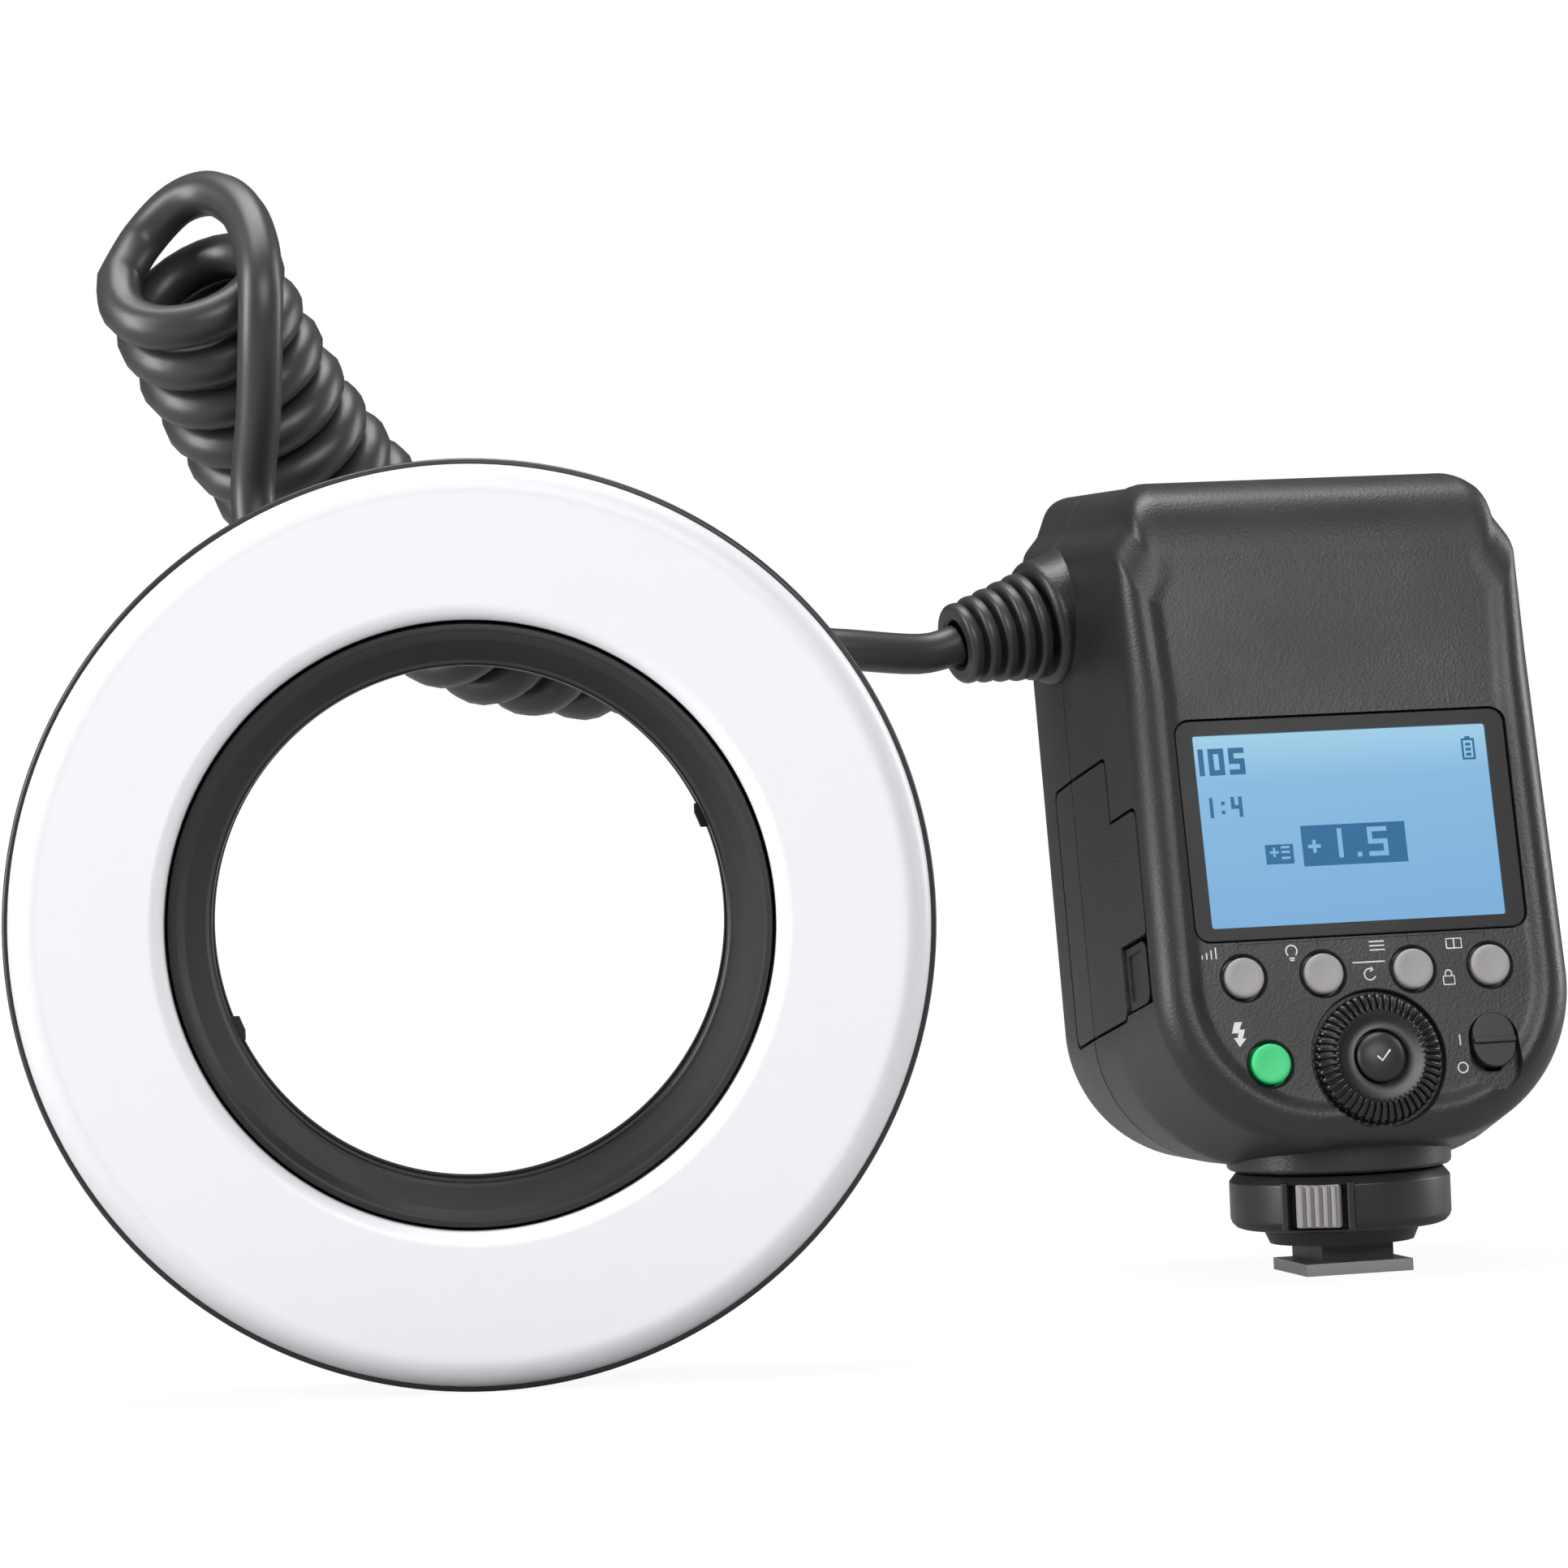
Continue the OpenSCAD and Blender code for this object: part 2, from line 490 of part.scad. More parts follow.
module loft(sections) {
    c = len(sections);
    m = len(sections[0]);
    ends = [[0, 76, sections[0][0][2]], [0, 50, sections[c - 1][0][2]]];
    polyhedron(points = concat([for (s = sections) each s], ends), faces = concat(
        [for (i = [0:c - 2], j = [0:m - 1]) [i * m + j, i * m + (j + 1) % m, (i + 1) * m + (j + 1) % m]],
        [for (i = [0:c - 2], j = [0:m - 1]) [i * m + j, (i + 1) * m + (j + 1) % m, (i + 1) * m + j]],
        [for (j = [0:m - 1]) [c * m, (j + 1) % m, j]],
        [for (j = [0:m - 1]) [c * m + 1, (c - 1) * m + j, (c - 1) * m + (j + 1) % m]]));
}
module skin(w) {
    b = body_d;
    ds = [w, w + 0.4, w + 1.2, w + 3, w + 6, w + 11, w + 16, 24, 28, seam_d, b - w - 8, b - w - 5,
        b - w - 2.4, b - w - 0.7, b - w];
    loft([for (d = ds) skin_section(d, w)]);
}
module core_skin(w) {
    b = body_d;
    ds = [w, w + 1.2, w + 3, w + 9, w + 16, 24, seam_d, b - w - 8, b - w - 2.4, b - w];
    loft([for (d = ds) skin_section(d, w)]);
}

// Places on the face
win_v = 45.5;
key_v = 20.8;
key_x = [-key_row / 2, -7.6, 7.9, key_row / 2];
low_v = 6.4;
test_x = -18.2;
dial_x = 0.4;
switch_x = 20.4;
key_hole = key_d + 2 * gap;
board_d = 11.5;
board_t = 1.6;
screw_seat = 44.5;
can_d = 26;
can_v = body_top - 50.5;
posts = [[-31, 68.5], [31, 68.5], [-27, 14], [27, 14]];
// Battery opening, in the side of the body: depths and heights
cap_x = -(half_w - 3.4);
bat_d0 = 17.7;
bat_d1 = 46;
bat_v0 = 17.8;
bat_v1 = 61.8;
pack_v = 39.5;
pack_mid = 31;
wing_d0 = 4.6;
wing_v0 = 29.7;
wing_v1 = 50.8;
latch_v0 = 19;
latch_v1 = wing_v0 - 0.4;
latch_d0 = 7;
latch_d1 = bat_d0 - 0.4;
opening_x = cap_x + 2.6;

module box(x0, x1, v0, v1, d0, d1) {
    translate([x0, v0, -d1]) cube([x1 - x0, v1 - v0, d1 - d0]);
}
module rbox(x, v, w, h, r, z0, z1) {
    translate([x, v, z0]) linear_extrude(z1 - z0) polygon(concat(
        arc([w / 2 - r, h / 2 - r], r, 0, 90, 5), arc([-w / 2 + r, h / 2 - r], r, 90, 180, 5),
        arc([-w / 2 + r, -h / 2 + r], r, 180, 270, 5), arc([w / 2 - r, -h / 2 + r], r, 270, 360, 5)));
}
module battery_zone(c, x1) {
    box(-50, x1, bat_v0 - c, bat_v1 + c, bat_d0 - c, bat_d1 + c);
    box(-50, x1, wing_v0 - c, wing_v1 + c, wing_d0 - c, bat_d0 + 1);
}
module port_zone(c) {
    box(21 - c, 33 + c, -20, 12, 16 - c, 30 + c);
}

module shell_body() {
    difference() {
        union() {
            skin(0);
            boss_in_unit() cylinder(r1 = 10.9, r2 = 10.3, h = boss_h + 3);
        }
        core_skin(shell_wall);
        boss_in_unit() translate([0, 0, -6]) cylinder(d = 12 + 2 * seat, h = 26);
        boss_in_unit() translate([0, 0, -6]) cylinder(r = 8 + gap, h = 4 + seat);
        minus_opening();
    }
}
module boss_in_unit() {
    rotate([lean - 90, 0, 0]) translate([0, -face_y, -face_z]) translate(unit_boss)
        rotate([0, boss_el, boss_az]) translate([0, 0, -3]) children();
}
module minus_opening() {
    battery_zone(gap, opening_x);
    box(-50, opening_x, latch_v0 - 0.6, wing_v0, latch_d0 - latch_travel - 0.6, bat_d0);
    port_zone(gap);
    rotate([lean - 90, 0, 0]) translate([0, -face_y, -face_z]) translate([0, 0, 10])
        cylinder(r = base_r + seat, h = base_top - 10 + seat);
}

module front_shell() color(c_black) unit() difference() {
    union() {
        intersection() {
            shell_body();
            box(-60, 60, -40, 140, -5, seam_d);
        }
        translate([dial_x, low_v, -3.4]) cylinder(r = 12, h = 2.4);
        translate([dial_x, low_v, -6]) cylinder(r = 9.5, h = 4.6);
        rbox(0, win_v, window_w + 3, window_h + 2.6, 3, -4.2, -1);
        for (p = posts) translate([p[0], p[1], -seam_d]) cylinder(r = 2.6, h = seam_d - 1.5);
    }
    rbox(0, win_v, window_w + 2 * seat, window_h + 2 * seat, 2.6, -window_t - 0.2, 2);
    rbox(0, win_v, window_w - 2.4, window_h - 2.4, 1.2, -6, 0);
    for (x = key_x) translate([x, key_v, -8]) cylinder(d = key_hole, h = 12);
    for (x = key_x) translate([x, key_v, -0.4]) cylinder(d = key_hole + 2, h = 2);
    for (x = key_x) translate([x, key_v, -8]) cylinder(d = key_hole + 2, h = 7.95 - shell_wall);
    translate([test_x, low_v, -8]) cylinder(d = key_hole, h = 12);
    translate([test_x, low_v, -0.4]) cylinder(d = key_hole + 2, h = 2);
    translate([dial_x, low_v, -1.4]) cylinder(d = dial_d + 1.2, h = 5);
    translate([dial_x, low_v, -8]) cylinder(d = hub_d + 2 * run_c, h = 12);
    rbox(switch_x, low_v, 8.7, 12.9, 4.34, -1.3, 2);
    rbox(switch_x, low_v, 3.2, 9.2, 0.8, -6, 2);
    for (p = posts) translate([p[0], p[1], -seam_d - 1]) cylinder(d = 2.2, h = 14);
}

module rear_shell() color(c_black) unit() difference() {
    union() {
        intersection() {
            shell_body();
            box(-60, 60, -40, 140, seam_d, 70);
        }
        for (p = posts) translate([p[0], p[1], -46.5]) cylinder(r = 2.6, h = 46.5 - seam_d);
        intersection() {
            core_skin(shell_wall - 0.5);
            union() {
                for (x = [-18, 18]) box(x - 1, x + 1, can_v - 16, can_v + 16, 24, 60);
                for (x = [-16, 14]) box(x - 1, x + 1, 26, 54, bay_back, 60);
                for (p = posts) translate([p[0], p[1], -60]) cylinder(r = 3.3, h = 20);
            }
        }
    }
    translate([-28, can_v, -27.5]) rotate([0, 90, 0]) cylinder(d = can_d + 2 * seat, h = 56);
    for (p = posts) translate([p[0], p[1], -70]) {
        cylinder(d = 5, h = 70 - screw_seat);
        cylinder(d = 2.6, h = 40);
    }
}

module display_window() color(c_dark) unit() rbox(0, win_v, window_w, window_h, 2.5, -window_t - 0.2, -0.2);
module display_panel() color(c_blue) unit()
    rbox(0, win_v, window_w - 3, window_h - 3, 0.8, -4.2, -window_t - 0.2 - seat);
module display_backlight() color(c_white) unit() rbox(0, win_v, window_w - 1, window_h - 1, 0.8, -6.8, -4.2);
module display_carrier() color(c_dark) unit() difference() {
    rbox(0, win_v, window_w - 1, window_h - 1, 0.8, -board_d, -6.8);
    rbox(0, win_v, window_w - 6, window_h - 6, 0.8, -board_d - 1, -6);
}
module main_board() color(c_board) unit() difference() {
    translate([0, 0, -board_d - board_t]) linear_extrude(board_t)
        polygon([[-17, -3], [17, -3], [31, 12], [31, 65], [-31, 65], [-31, 12]]);
    for (p = posts) translate([p[0], p[1], -20]) cylinder(r = 2.6 + seat, h = 20);
}
module key_switches() color(c_steel) unit() {
    for (x = key_x) tact(x, key_v, 5);
    tact(test_x, low_v, 5);
    tact(dial_x, low_v, 4.4);
}
module tact(x, v, s) {
    translate([x - s / 2, v - s / 2, -board_d]) cube([s, s, 1.3]);
    translate([x, v, -board_d + 1]) cylinder(d = 2.8, h = 0.6);
}
module flash_capacitor() color(c_dark) unit() translate([-25, can_v, -27.5]) rotate([0, 90, 0]) {
    cylinder(d = can_d, h = 48);
    translate([0, 0, 48]) cylinder(d = can_d - 2, h = 1);
    for (s = [-5, 5]) translate([0, s, 49]) cylinder(d = 1.2, h = 3, $fn = 16);
}
module transformer() color(c_brass) unit() {
    box(-11, 11, 1, 15, board_d + board_t, 16);
    box(-8, 8, 3, 13, 16, 28);
    box(-11, 11, 1, 15, 28, 31);
}
module dial_encoder() color(c_dark) unit() difference() {
    box(dial_x - 8, dial_x + 8, low_v - 8, low_v + 8, 7.6, board_d);
    translate([dial_x, low_v, -20]) cylinder(d = 9, h = 20);
}
module slide_switch() color(c_steel) unit()
    box(switch_x - 3, switch_x + 3, low_v - 5.5, low_v + 5.5, 8.8, board_d);

// Battery
bay_t = 1.2;
bay_back = pack_mid + pack_d / 2 + gap + bay_t;
bay_end = cap_x + pack_l + gap + 0.3;
module pack_box(c, x0, x1) {
    h = pack_h / 2 + c;
    d = pack_d / 2 + c;
    box(x0, x1, pack_v - h, pack_v + h, pack_mid - d, pack_mid + d);
}
module battery_bay() color(c_dark) unit() difference() {
    pack_box(gap + bay_t, cap_x + 2.8, bay_end + bay_t);
    pack_box(gap, -60, bay_end);
    for (v = [-9, 0, 9]) box(bay_end - 1, bay_end + 3, pack_v + v - 1.5, pack_v + v + 1.5, 26, 36);
}
module bay_contacts() color(c_brass) unit()
    for (v = [-9, 0, 9]) box(bay_end + 0.1, bay_end + 1.8, pack_v + v - 1.5, pack_v + v + 1.5, 26, 36);
module battery_case() color(c_black) unit() {
    difference() {
        pack_box(0, cap_x - 0.5, cap_x + pack_l - 1.2);
        pack_box(-1.2, cap_x + 1, 60);
    }
    intersection() {
        skin(0);
        battery_zone(0, cap_x);
    }
    box(cap_x + gap, cap_x + gap + 1.2, latch_v0, latch_v1, latch_d0 - latch_travel, bat_d0 + 2);
    box(cap_x - 0.5, cap_x + gap + 1.2, latch_v0, latch_v1, bat_d0, bat_d0 + 2);
}
module battery_lid() color(c_dark) unit() pack_box(0, cap_x + pack_l - 1.2, cap_x + pack_l);
module battery_cells() color([0.25, 0.45, 0.7]) unit()
    for (v = [-10, 10]) translate([cap_x + 1, pack_v + v, -pack_mid]) rotate([0, 90, 0])
        cylinder(d = cell_d, h = pack_l - 2.2);
module battery_terminals() color(c_brass) unit()
    for (v = [-9, 0, 9]) box(cap_x + pack_l, cap_x + pack_l + 0.2, pack_v + v - 2, pack_v + v + 2, 27, 35);
module battery_latch() color(c_dark) unit() intersection() {
    skin(0.5);
    box(-50, cap_x, latch_v0, latch_v1, latch_d0, latch_d1);
}

// Keys
module key(x, v) unit() translate([x, v, 0]) {
    cylinder(d = key_d, h = key_rise - 0.3);
    translate([0, 0, key_rise - 0.3]) cylinder(d1 = key_d, d2 = key_d - 0.8, h = 0.3);
    translate([0, 0, -3.1]) cylinder(d = key_d, h = 3.2);
    translate([0, 0, -3.1]) cylinder(d = key_d + 2, h = 0.8);
    translate([0, 0, -board_d + 1.6 + 0.3 + key_travel]) cylinder(d = 3, h = board_d - 1.9 - key_travel - 3);
}
module key_1() color(c_grey) key(key_x[0], key_v);
module key_2() color(c_grey) key(key_x[1], key_v);
module key_3() color(c_grey) key(key_x[2], key_v);
module key_4() color(c_grey) key(key_x[3], key_v);
module test_key() color(c_green) key(test_x, low_v);
module set_key() color(c_black) unit() translate([dial_x, low_v, 0]) {
    translate([0, 0, -0.3]) cylinder(d = set_d, h = dial_rise + 0.3);
    translate([0, 0, dial_rise]) cylinder(d1 = set_d, d2 = set_d - 1.4, h = 0.5);
    translate([0, 0, -0.95]) cylinder(d = set_d + 1.2, h = 0.8);
    translate([0, 0, -board_d + 1.9 + key_travel]) cylinder(d = 4, h = board_d - 1.9 - key_travel - 0.5);
}
module control_dial() color(c_dark) unit() translate([dial_x, low_v, 0]) {
    difference() {
        union() {
            rotate_extrude($fn = 96) polygon([[0, -1.05], [dial_d / 2 - 0.6, -1.05], [dial_d / 2 - 0.3, -0.8],
                [dial_d / 2 - 0.3, 0.2], [dial_d / 2 - 2.6, dial_rise - 0.2], [6.6, dial_rise - 0.2],
                [5.4, dial_rise - 0.7], [0, dial_rise - 0.7]]);
            translate([0, 0, -7.2]) cylinder(d = hub_d, h = 7);
            for (i = [0:dial_ridges - 1]) rotate([0, 0, 360 * i / dial_ridges])
                translate([dial_d / 2 - 3.2, -0.3, -0.6]) rotate([0, 28, 0]) translate([-1.4, 0, 0.9])
                    cube([3.6, 0.6, 2]);
        }
        translate([0, 0, -8]) cylinder(d = set_d + 2, h = 8.2);
        translate([0, 0, -8]) cylinder(d = set_d + 2 * gap, h = 14);
        translate([0, 0, -2]) difference() {
            cylinder(r = dial_d, h = 8);
            translate([0, 0, -1]) cylinder(d = dial_d, h = 10);
        }
    }
}
module dial_clip() color(c_steel) unit() translate([dial_x, low_v, -7]) difference() {
    cylinder(d = hub_d + 3.2, h = 0.65);
    translate([0, 0, -1]) cylinder(d = hub_d + 0.02, h = 3);
}
module power_switch() color(c_dark) unit() translate([switch_x, low_v + switch_travel / 2, 0]) {
    for (s = [-0.9, 0.9]) translate([0, s, -0.95]) cylinder(d = 6.6, h = 1.6);
    translate([-3.3, -0.9, -0.95]) cube([6.6, 1.8, 1.6]);
    translate([-3, -0.5, 0.5]) cube([6, 1, 0.6]);
    translate([-1, -1.4, -8.3]) cube([2, 2.8, 8]);
    translate([-2.5, -1.8, -3.2]) cube([5, 3.6, 0.85]);
}

// Port behind a cover in the lower right corner
module port_carrier() color(c_dark) unit() difference() {
    intersection() {
        core_skin(shell_wall + 0.05);
        box(19, 35, -20, 8, 14.5, 31.5);
    }
    translate([27, -2.3, -23]) rotate([0, 0, 37]) translate([-4.6, -20, -3]) cube([9.2, 24, 3.4]);
}
module port_cover() color(c_black) unit() intersection() {
    difference() {
        skin(0);
        core_skin(shell_wall - 0.3);
    }
    port_zone(0);
    translate([33.1, 4.4, 0]) rotate([0, 0, 59]) box(-40, 0, -20, 20, 0, 40);
}
module shell_screws() color(c_steel) unit()
    for (p = posts) translate([p[0], p[1], -screw_seat - 1.72]) screw(2, 20, 4.4, 1.7);

// Shoe
base_z = 17.3;
base_top = 23.4;
base_r = 18.7;
collar_z = 7.6;
disc_z = 7.25;
rail_top = 5;
contact_d = 1.6;
release_az = 240;
module foot_base() color(c_black) difference() {
    union() {
        translate([0, 0, base_z]) cylinder(r1 = base_r - 0.7, r2 = base_r, h = 0.8);
        translate([0, 0, base_z + 0.8]) cylinder(r = base_r, h = base_top - base_z - 0.8);
        translate([0, 0, disc_z]) cylinder(d = core_d, h = base_z - disc_z + 1);
    }
    translate([0, 0, 12]) cylinder(d = 9, h = 20);
    translate([0, -5.5, 0]) cylinder(d = pin_d + 2 * gap, h = 40);
}
module lock_collar() color(c_black) difference() {
    rotate_extrude($fn = 120) polygon([[core_d / 2 + run_c, collar_z], [collar_d / 2 - 1.6, collar_z],
        [collar_d / 2, collar_z + 1.6], [collar_d / 2, base_z - 1.4], [collar_d / 2 - 1, base_z - gap],
        [core_d / 2 + run_c, base_z - gap]]);
    rotate([0, 0, release_az]) translate([14.6, -3.7 - gap, collar_z + 0.9 - gap])
        cube([8, 7.4 + 2 * gap, 7.2 + 2 * gap]);
    for (s = [-1, 1]) rotate([0, 0, release_az + s * 17.5])
        translate([collar_d / 2 - 0.5, -0.5, collar_z - 1]) cube([2, 1, 12]);
}
module lock_release() color(c_grey) intersection() {
    rotate([0, 0, release_az]) translate([16.2, -3.7, collar_z + 0.9]) {
        cube([2.1, 7.4, 7.2]);
        for (i = [0:4]) translate([1, 0.5 + 1.4 * i, 0]) cube([1.8, 0.8, 7.2]);
    }
    cylinder(d = collar_d + 1, h = 40);
}
module collar_retainer() color(c_dark) difference() {
    translate([0, 0, rail_top]) cylinder(r1 = core_d / 2, r2 = core_d / 2 + 1, h = disc_z - rail_top);
    shoe_holes();
}
module shoe_pedestal() color(c_dark) difference() {
    translate([-pedestal_w / 2, -8, foot_t]) cube([pedestal_w, 16, rail_top - foot_t]);
    shoe_holes();
}
module shoe_holes() {
    translate([0, -5.5, -1]) cylinder(d = pin_d + 2 * gap, h = 40);
    contact_places() translate([0, 0, -1]) cylinder(d = contact_d + 2 * gap, h = 40, $fn = 32);
}
module contact_places() {
    for (p = [[0, 0], [-4, 1.5], [4, 1.5], [-3.5, 5.5], [3.5, 5.5]]) translate([p[0], p[1], 0]) children();
}
module shoe_foot() color(c_steel) difference() {
    translate([-foot_w / 2, -foot_l / 2, 0]) cube([foot_w, foot_l, foot_t]);
    for (s = [0, 180]) rotate([0, 0, s]) translate([-20, foot_l / 2 - 0.4, foot_t]) rotate([45, 0, 0])
        cube([40, 2, 2]);
    shoe_holes();
}
module lock_pin() color(c_steel) translate([0, -5.5, 0]) {
    translate([0, 0, 0.4]) cylinder(d = pin_d, h = 16);
}
module contact_pins() color(c_brass) contact_places() {
    cylinder(d1 = contact_d - 0.6, d2 = contact_d, h = 0.4, $fn = 32);
    translate([0, 0, 0.4]) cylinder(d = contact_d, h = disc_z - 1.25, $fn = 32);
}

ring_rear_housing();
ring_front_bezel();
ring_diffuser();
baffle_ring();
lens_socket();
ring_reflector();
flash_tube_a();
flash_tube_b();
tube_end_caps();
led_boards();
modelling_leds();
ring_board();
ring_latch_left();
ring_latch_right();
latch_springs();
ring_screws();
ring_cord_relief();
cord_ring_run();
cord_coil();
cord_unit_run();
unit_cord_relief();
front_shell();
rear_shell();
display_window();
display_panel();
display_backlight();
display_carrier();
main_board();
key_switches();
flash_capacitor();
transformer();
dial_encoder();
slide_switch();
battery_bay();
bay_contacts();
battery_case();
battery_lid();
battery_cells();
battery_terminals();
battery_latch();
key_1();
key_2();
key_3();
key_4();
test_key();
set_key();
control_dial();
dial_clip();
power_switch();
port_carrier();
port_cover();
shell_screws();
foot_base();
lock_collar();
lock_release();
lock_pin();
collar_retainer();
shoe_pedestal();
shoe_foot();
contact_pins();
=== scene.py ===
"""Looks of a macro ring flash: ring head, curly cord and shoe-mounted control unit.

Pieces are modelled in millimetres in a working frame of their own: RING for the ring head, FACE for
the control unit, BOSS for its cord entry, STAND for the shoe. They are brought to metres in place.
"""

import json
from math import acos, atan2, cos, pi, radians, sin, sqrt, tan

import bpy
from mathutils import Matrix, Vector


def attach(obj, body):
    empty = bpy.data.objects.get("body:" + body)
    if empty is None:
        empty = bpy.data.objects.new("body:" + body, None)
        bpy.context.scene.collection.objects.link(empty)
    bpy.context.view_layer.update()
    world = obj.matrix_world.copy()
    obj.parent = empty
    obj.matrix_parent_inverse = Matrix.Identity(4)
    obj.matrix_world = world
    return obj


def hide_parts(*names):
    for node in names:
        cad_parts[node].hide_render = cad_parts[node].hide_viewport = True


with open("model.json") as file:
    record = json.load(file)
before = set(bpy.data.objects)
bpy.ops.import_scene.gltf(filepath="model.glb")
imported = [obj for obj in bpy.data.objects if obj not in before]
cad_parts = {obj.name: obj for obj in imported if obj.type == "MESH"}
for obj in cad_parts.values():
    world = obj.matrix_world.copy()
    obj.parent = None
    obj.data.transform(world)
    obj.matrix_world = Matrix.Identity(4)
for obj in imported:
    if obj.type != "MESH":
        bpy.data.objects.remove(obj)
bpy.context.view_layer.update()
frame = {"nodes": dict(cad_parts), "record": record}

bl_info = {
    "name": "Macro ring flash",
    "version": (1, 0, 0),
    "blender": (4, 5, 0),
    "location": "View3D > Sidebar > Ring flash",
    "description": "Models the visible pieces of a macro ring flash around its CAD frame",
    "category": "Object",
}

MM = Matrix.Scale(0.001, 4)
STAND = Matrix.Identity(4)
RING_POS = Vector((-160, -78, 68))
RING_YAW = radians(-10.5)
RING = Matrix.Translation(RING_POS) @ Matrix.Rotation(RING_YAW, 4, "Z") @ Matrix.Rotation(pi / 2, 4, "X")
LEAN = radians(12)
FACE_Y = -23.5
FACE_Z = 30
FACE = Matrix.Translation((0, FACE_Y, FACE_Z)) @ Matrix.Rotation(pi / 2 - LEAN, 4, "X")
BOSS_POS = Vector((-37.4, 30.5, 110.5))
BOSS_TURN = Matrix.Rotation(radians(190), 4, "Z") @ Matrix.Rotation(radians(101), 4, "Y")
BOSS = Matrix.Translation(BOSS_POS) @ BOSS_TURN

# Places on the unit's face: x to the right, v up the face
WINDOW = (0, 45.5, 57, 37)
KEY_V = 20.8
KEY_X = (-21.2, -7.6, 7.9, 21.2)
LOW_V = 6.4
TEST_X = -18.2
DIAL_X = 0.4
SWITCH_X = 20.4
SEAM_D = 36

# The turn that lays the face flat, and the steps of the ring's round pieces
FACE_FLAT = LEAN - pi / 2
ROUND = 192

# The body: depth, half width and its draft, depth of the top roll, and the radii of its edges
BODY_D = 60
HALF_W = 37.2
DRAFT = 1.4
ROLL_D = 16
EDGE_R = 3
FRONT_R = 4.5
BACK_R = 8


# Colour

def linear(hexa):
    """An sRGB hex value as linear red, green, blue and alpha."""
    parts = [int(hexa[i:i + 2], 16) / 255 for i in (1, 3, 5)]
    return [c / 12.92 if c <= 0.04045 else ((c + 0.055) / 1.055) ** 2.4 for c in parts] + [1.0]


# Sizes and colours that a user would change

def length(name, text, value):
    return bpy.props.FloatProperty(name=name, description=text, default=value / 1000, unit="LENGTH",
                                   precision=5)


def colour(name, text, hexa):
    return bpy.props.FloatVectorProperty(name=name, description=text, default=linear(hexa), size=4,
                                         subtype="COLOR", min=0, max=1)


def number(name, text, value, low, high):
    return bpy.props.IntProperty(name=name, description=text, default=value, min=low, max=high)


class RingFlashSizes(bpy.types.PropertyGroup):
    """Sizes of the visible details"""
    cord_diameter: length("Cord diameter", "Thickness of the curly cord", 6.9)
    lip_height: length("Face lip", "How far the soft lip around the face stands out", 0.75)
    seam_depth: length("Seam depth", "Depth of the groove between the two shells", 0.5)
    key_rise: length("Key rise", "How far the round keys stand out of the face", 0.9)
    dial_ridges: number("Dial ridges", "Ridges around the dial", 48, 12, 96)
    baffle_grooves: number("Baffle grooves", "Stray-light grooves in the ring", 11, 4, 20)


class RingFlashColours(bpy.types.PropertyGroup):
    """Colours of the main finishes"""
    body: colour("Body", "Moulded body of the unit and the ring", "#262628")
    diffuser: colour("Diffuser", "Milky cover of the flash tubes", "#f3f4f8")
    key: colour("Keys", "Round rubber keys and the shoe release", "#9c989c")
    test_key: colour("Test key", "Round test key", "#35d07e")
    cord: colour("Cord", "Rubber of the cord and its strain reliefs", "#242425")
    screen_top: colour("Screen top", "Upper edge of the lit screen", "#a0cfe8")
    screen_foot: colour("Screen foot", "Lower edge of the lit screen", "#7bb0dd")
    screen_ink: colour("Screen ink", "Figures on the lit screen", "#1d628f")


# Selection and modelling helpers

def deselect():
    if bpy.context.mode != "OBJECT":
        bpy.ops.object.mode_set(mode="OBJECT")
    bpy.ops.object.select_all(action="DESELECT")


def pick(obj):
    deselect()
    obj.select_set(True)
    bpy.context.view_layer.objects.active = obj


def edit(obj):
    pick(obj)
    bpy.ops.object.mode_set(mode="EDIT")
    bpy.ops.mesh.select_all(action="SELECT")


def close(obj, merge=1e-4):
    """Merges doubles, fills open ends and turns the faces outwards."""
    edit(obj)
    bpy.ops.mesh.remove_doubles(threshold=merge)
    bpy.ops.mesh.delete_loose()
    bpy.ops.mesh.select_all(action="SELECT")
    bpy.ops.mesh.fill_holes(sides=0)
    bpy.ops.mesh.select_all(action="SELECT")
    bpy.ops.mesh.normals_make_consistent(inside=False)
    bpy.ops.object.mode_set(mode="OBJECT")
    return obj


def fresh(name):
    obj = bpy.context.object
    obj.name = name
    obj.data.name = name
    return obj


def lathe(name, profile, steps):
    """Spins a closed profile of (radius, height) points about the z axis."""
    deselect()
    bpy.ops.mesh.primitive_circle_add(vertices=len(profile), fill_type="NOTHING")
    obj = fresh(name)
    for vertex, (r, z) in zip(obj.data.vertices, profile):
        vertex.co = (r, 0, z)
    edit(obj)
    bpy.ops.mesh.spin(steps=steps, angle=radians(360), center=(0, 0, 0), axis=(0, 0, 1))
    return close(obj)


def arc(x, y, r, a, b, n):
    """Points of an arc about (x, y), from angle a to angle b in degrees."""
    turns = [radians(a + (b - a) * i / n) for i in range(n + 1)]
    return [(x + r * cos(t), y + r * sin(t)) for t in turns]


def cutout(name, outline, z0, z1):
    """A flat plate with the given outline, from height z0 to z1."""
    deselect()
    bpy.ops.mesh.primitive_circle_add(vertices=len(outline), fill_type="NGON")
    obj = fresh(name)
    for vertex, (x, y) in zip(obj.data.vertices, outline):
        vertex.co = (x, y, z0)
    edit(obj)
    bpy.ops.mesh.extrude_region_move(TRANSFORM_OT_translate={"value": (0, 0, z1 - z0)})
    return close(obj)


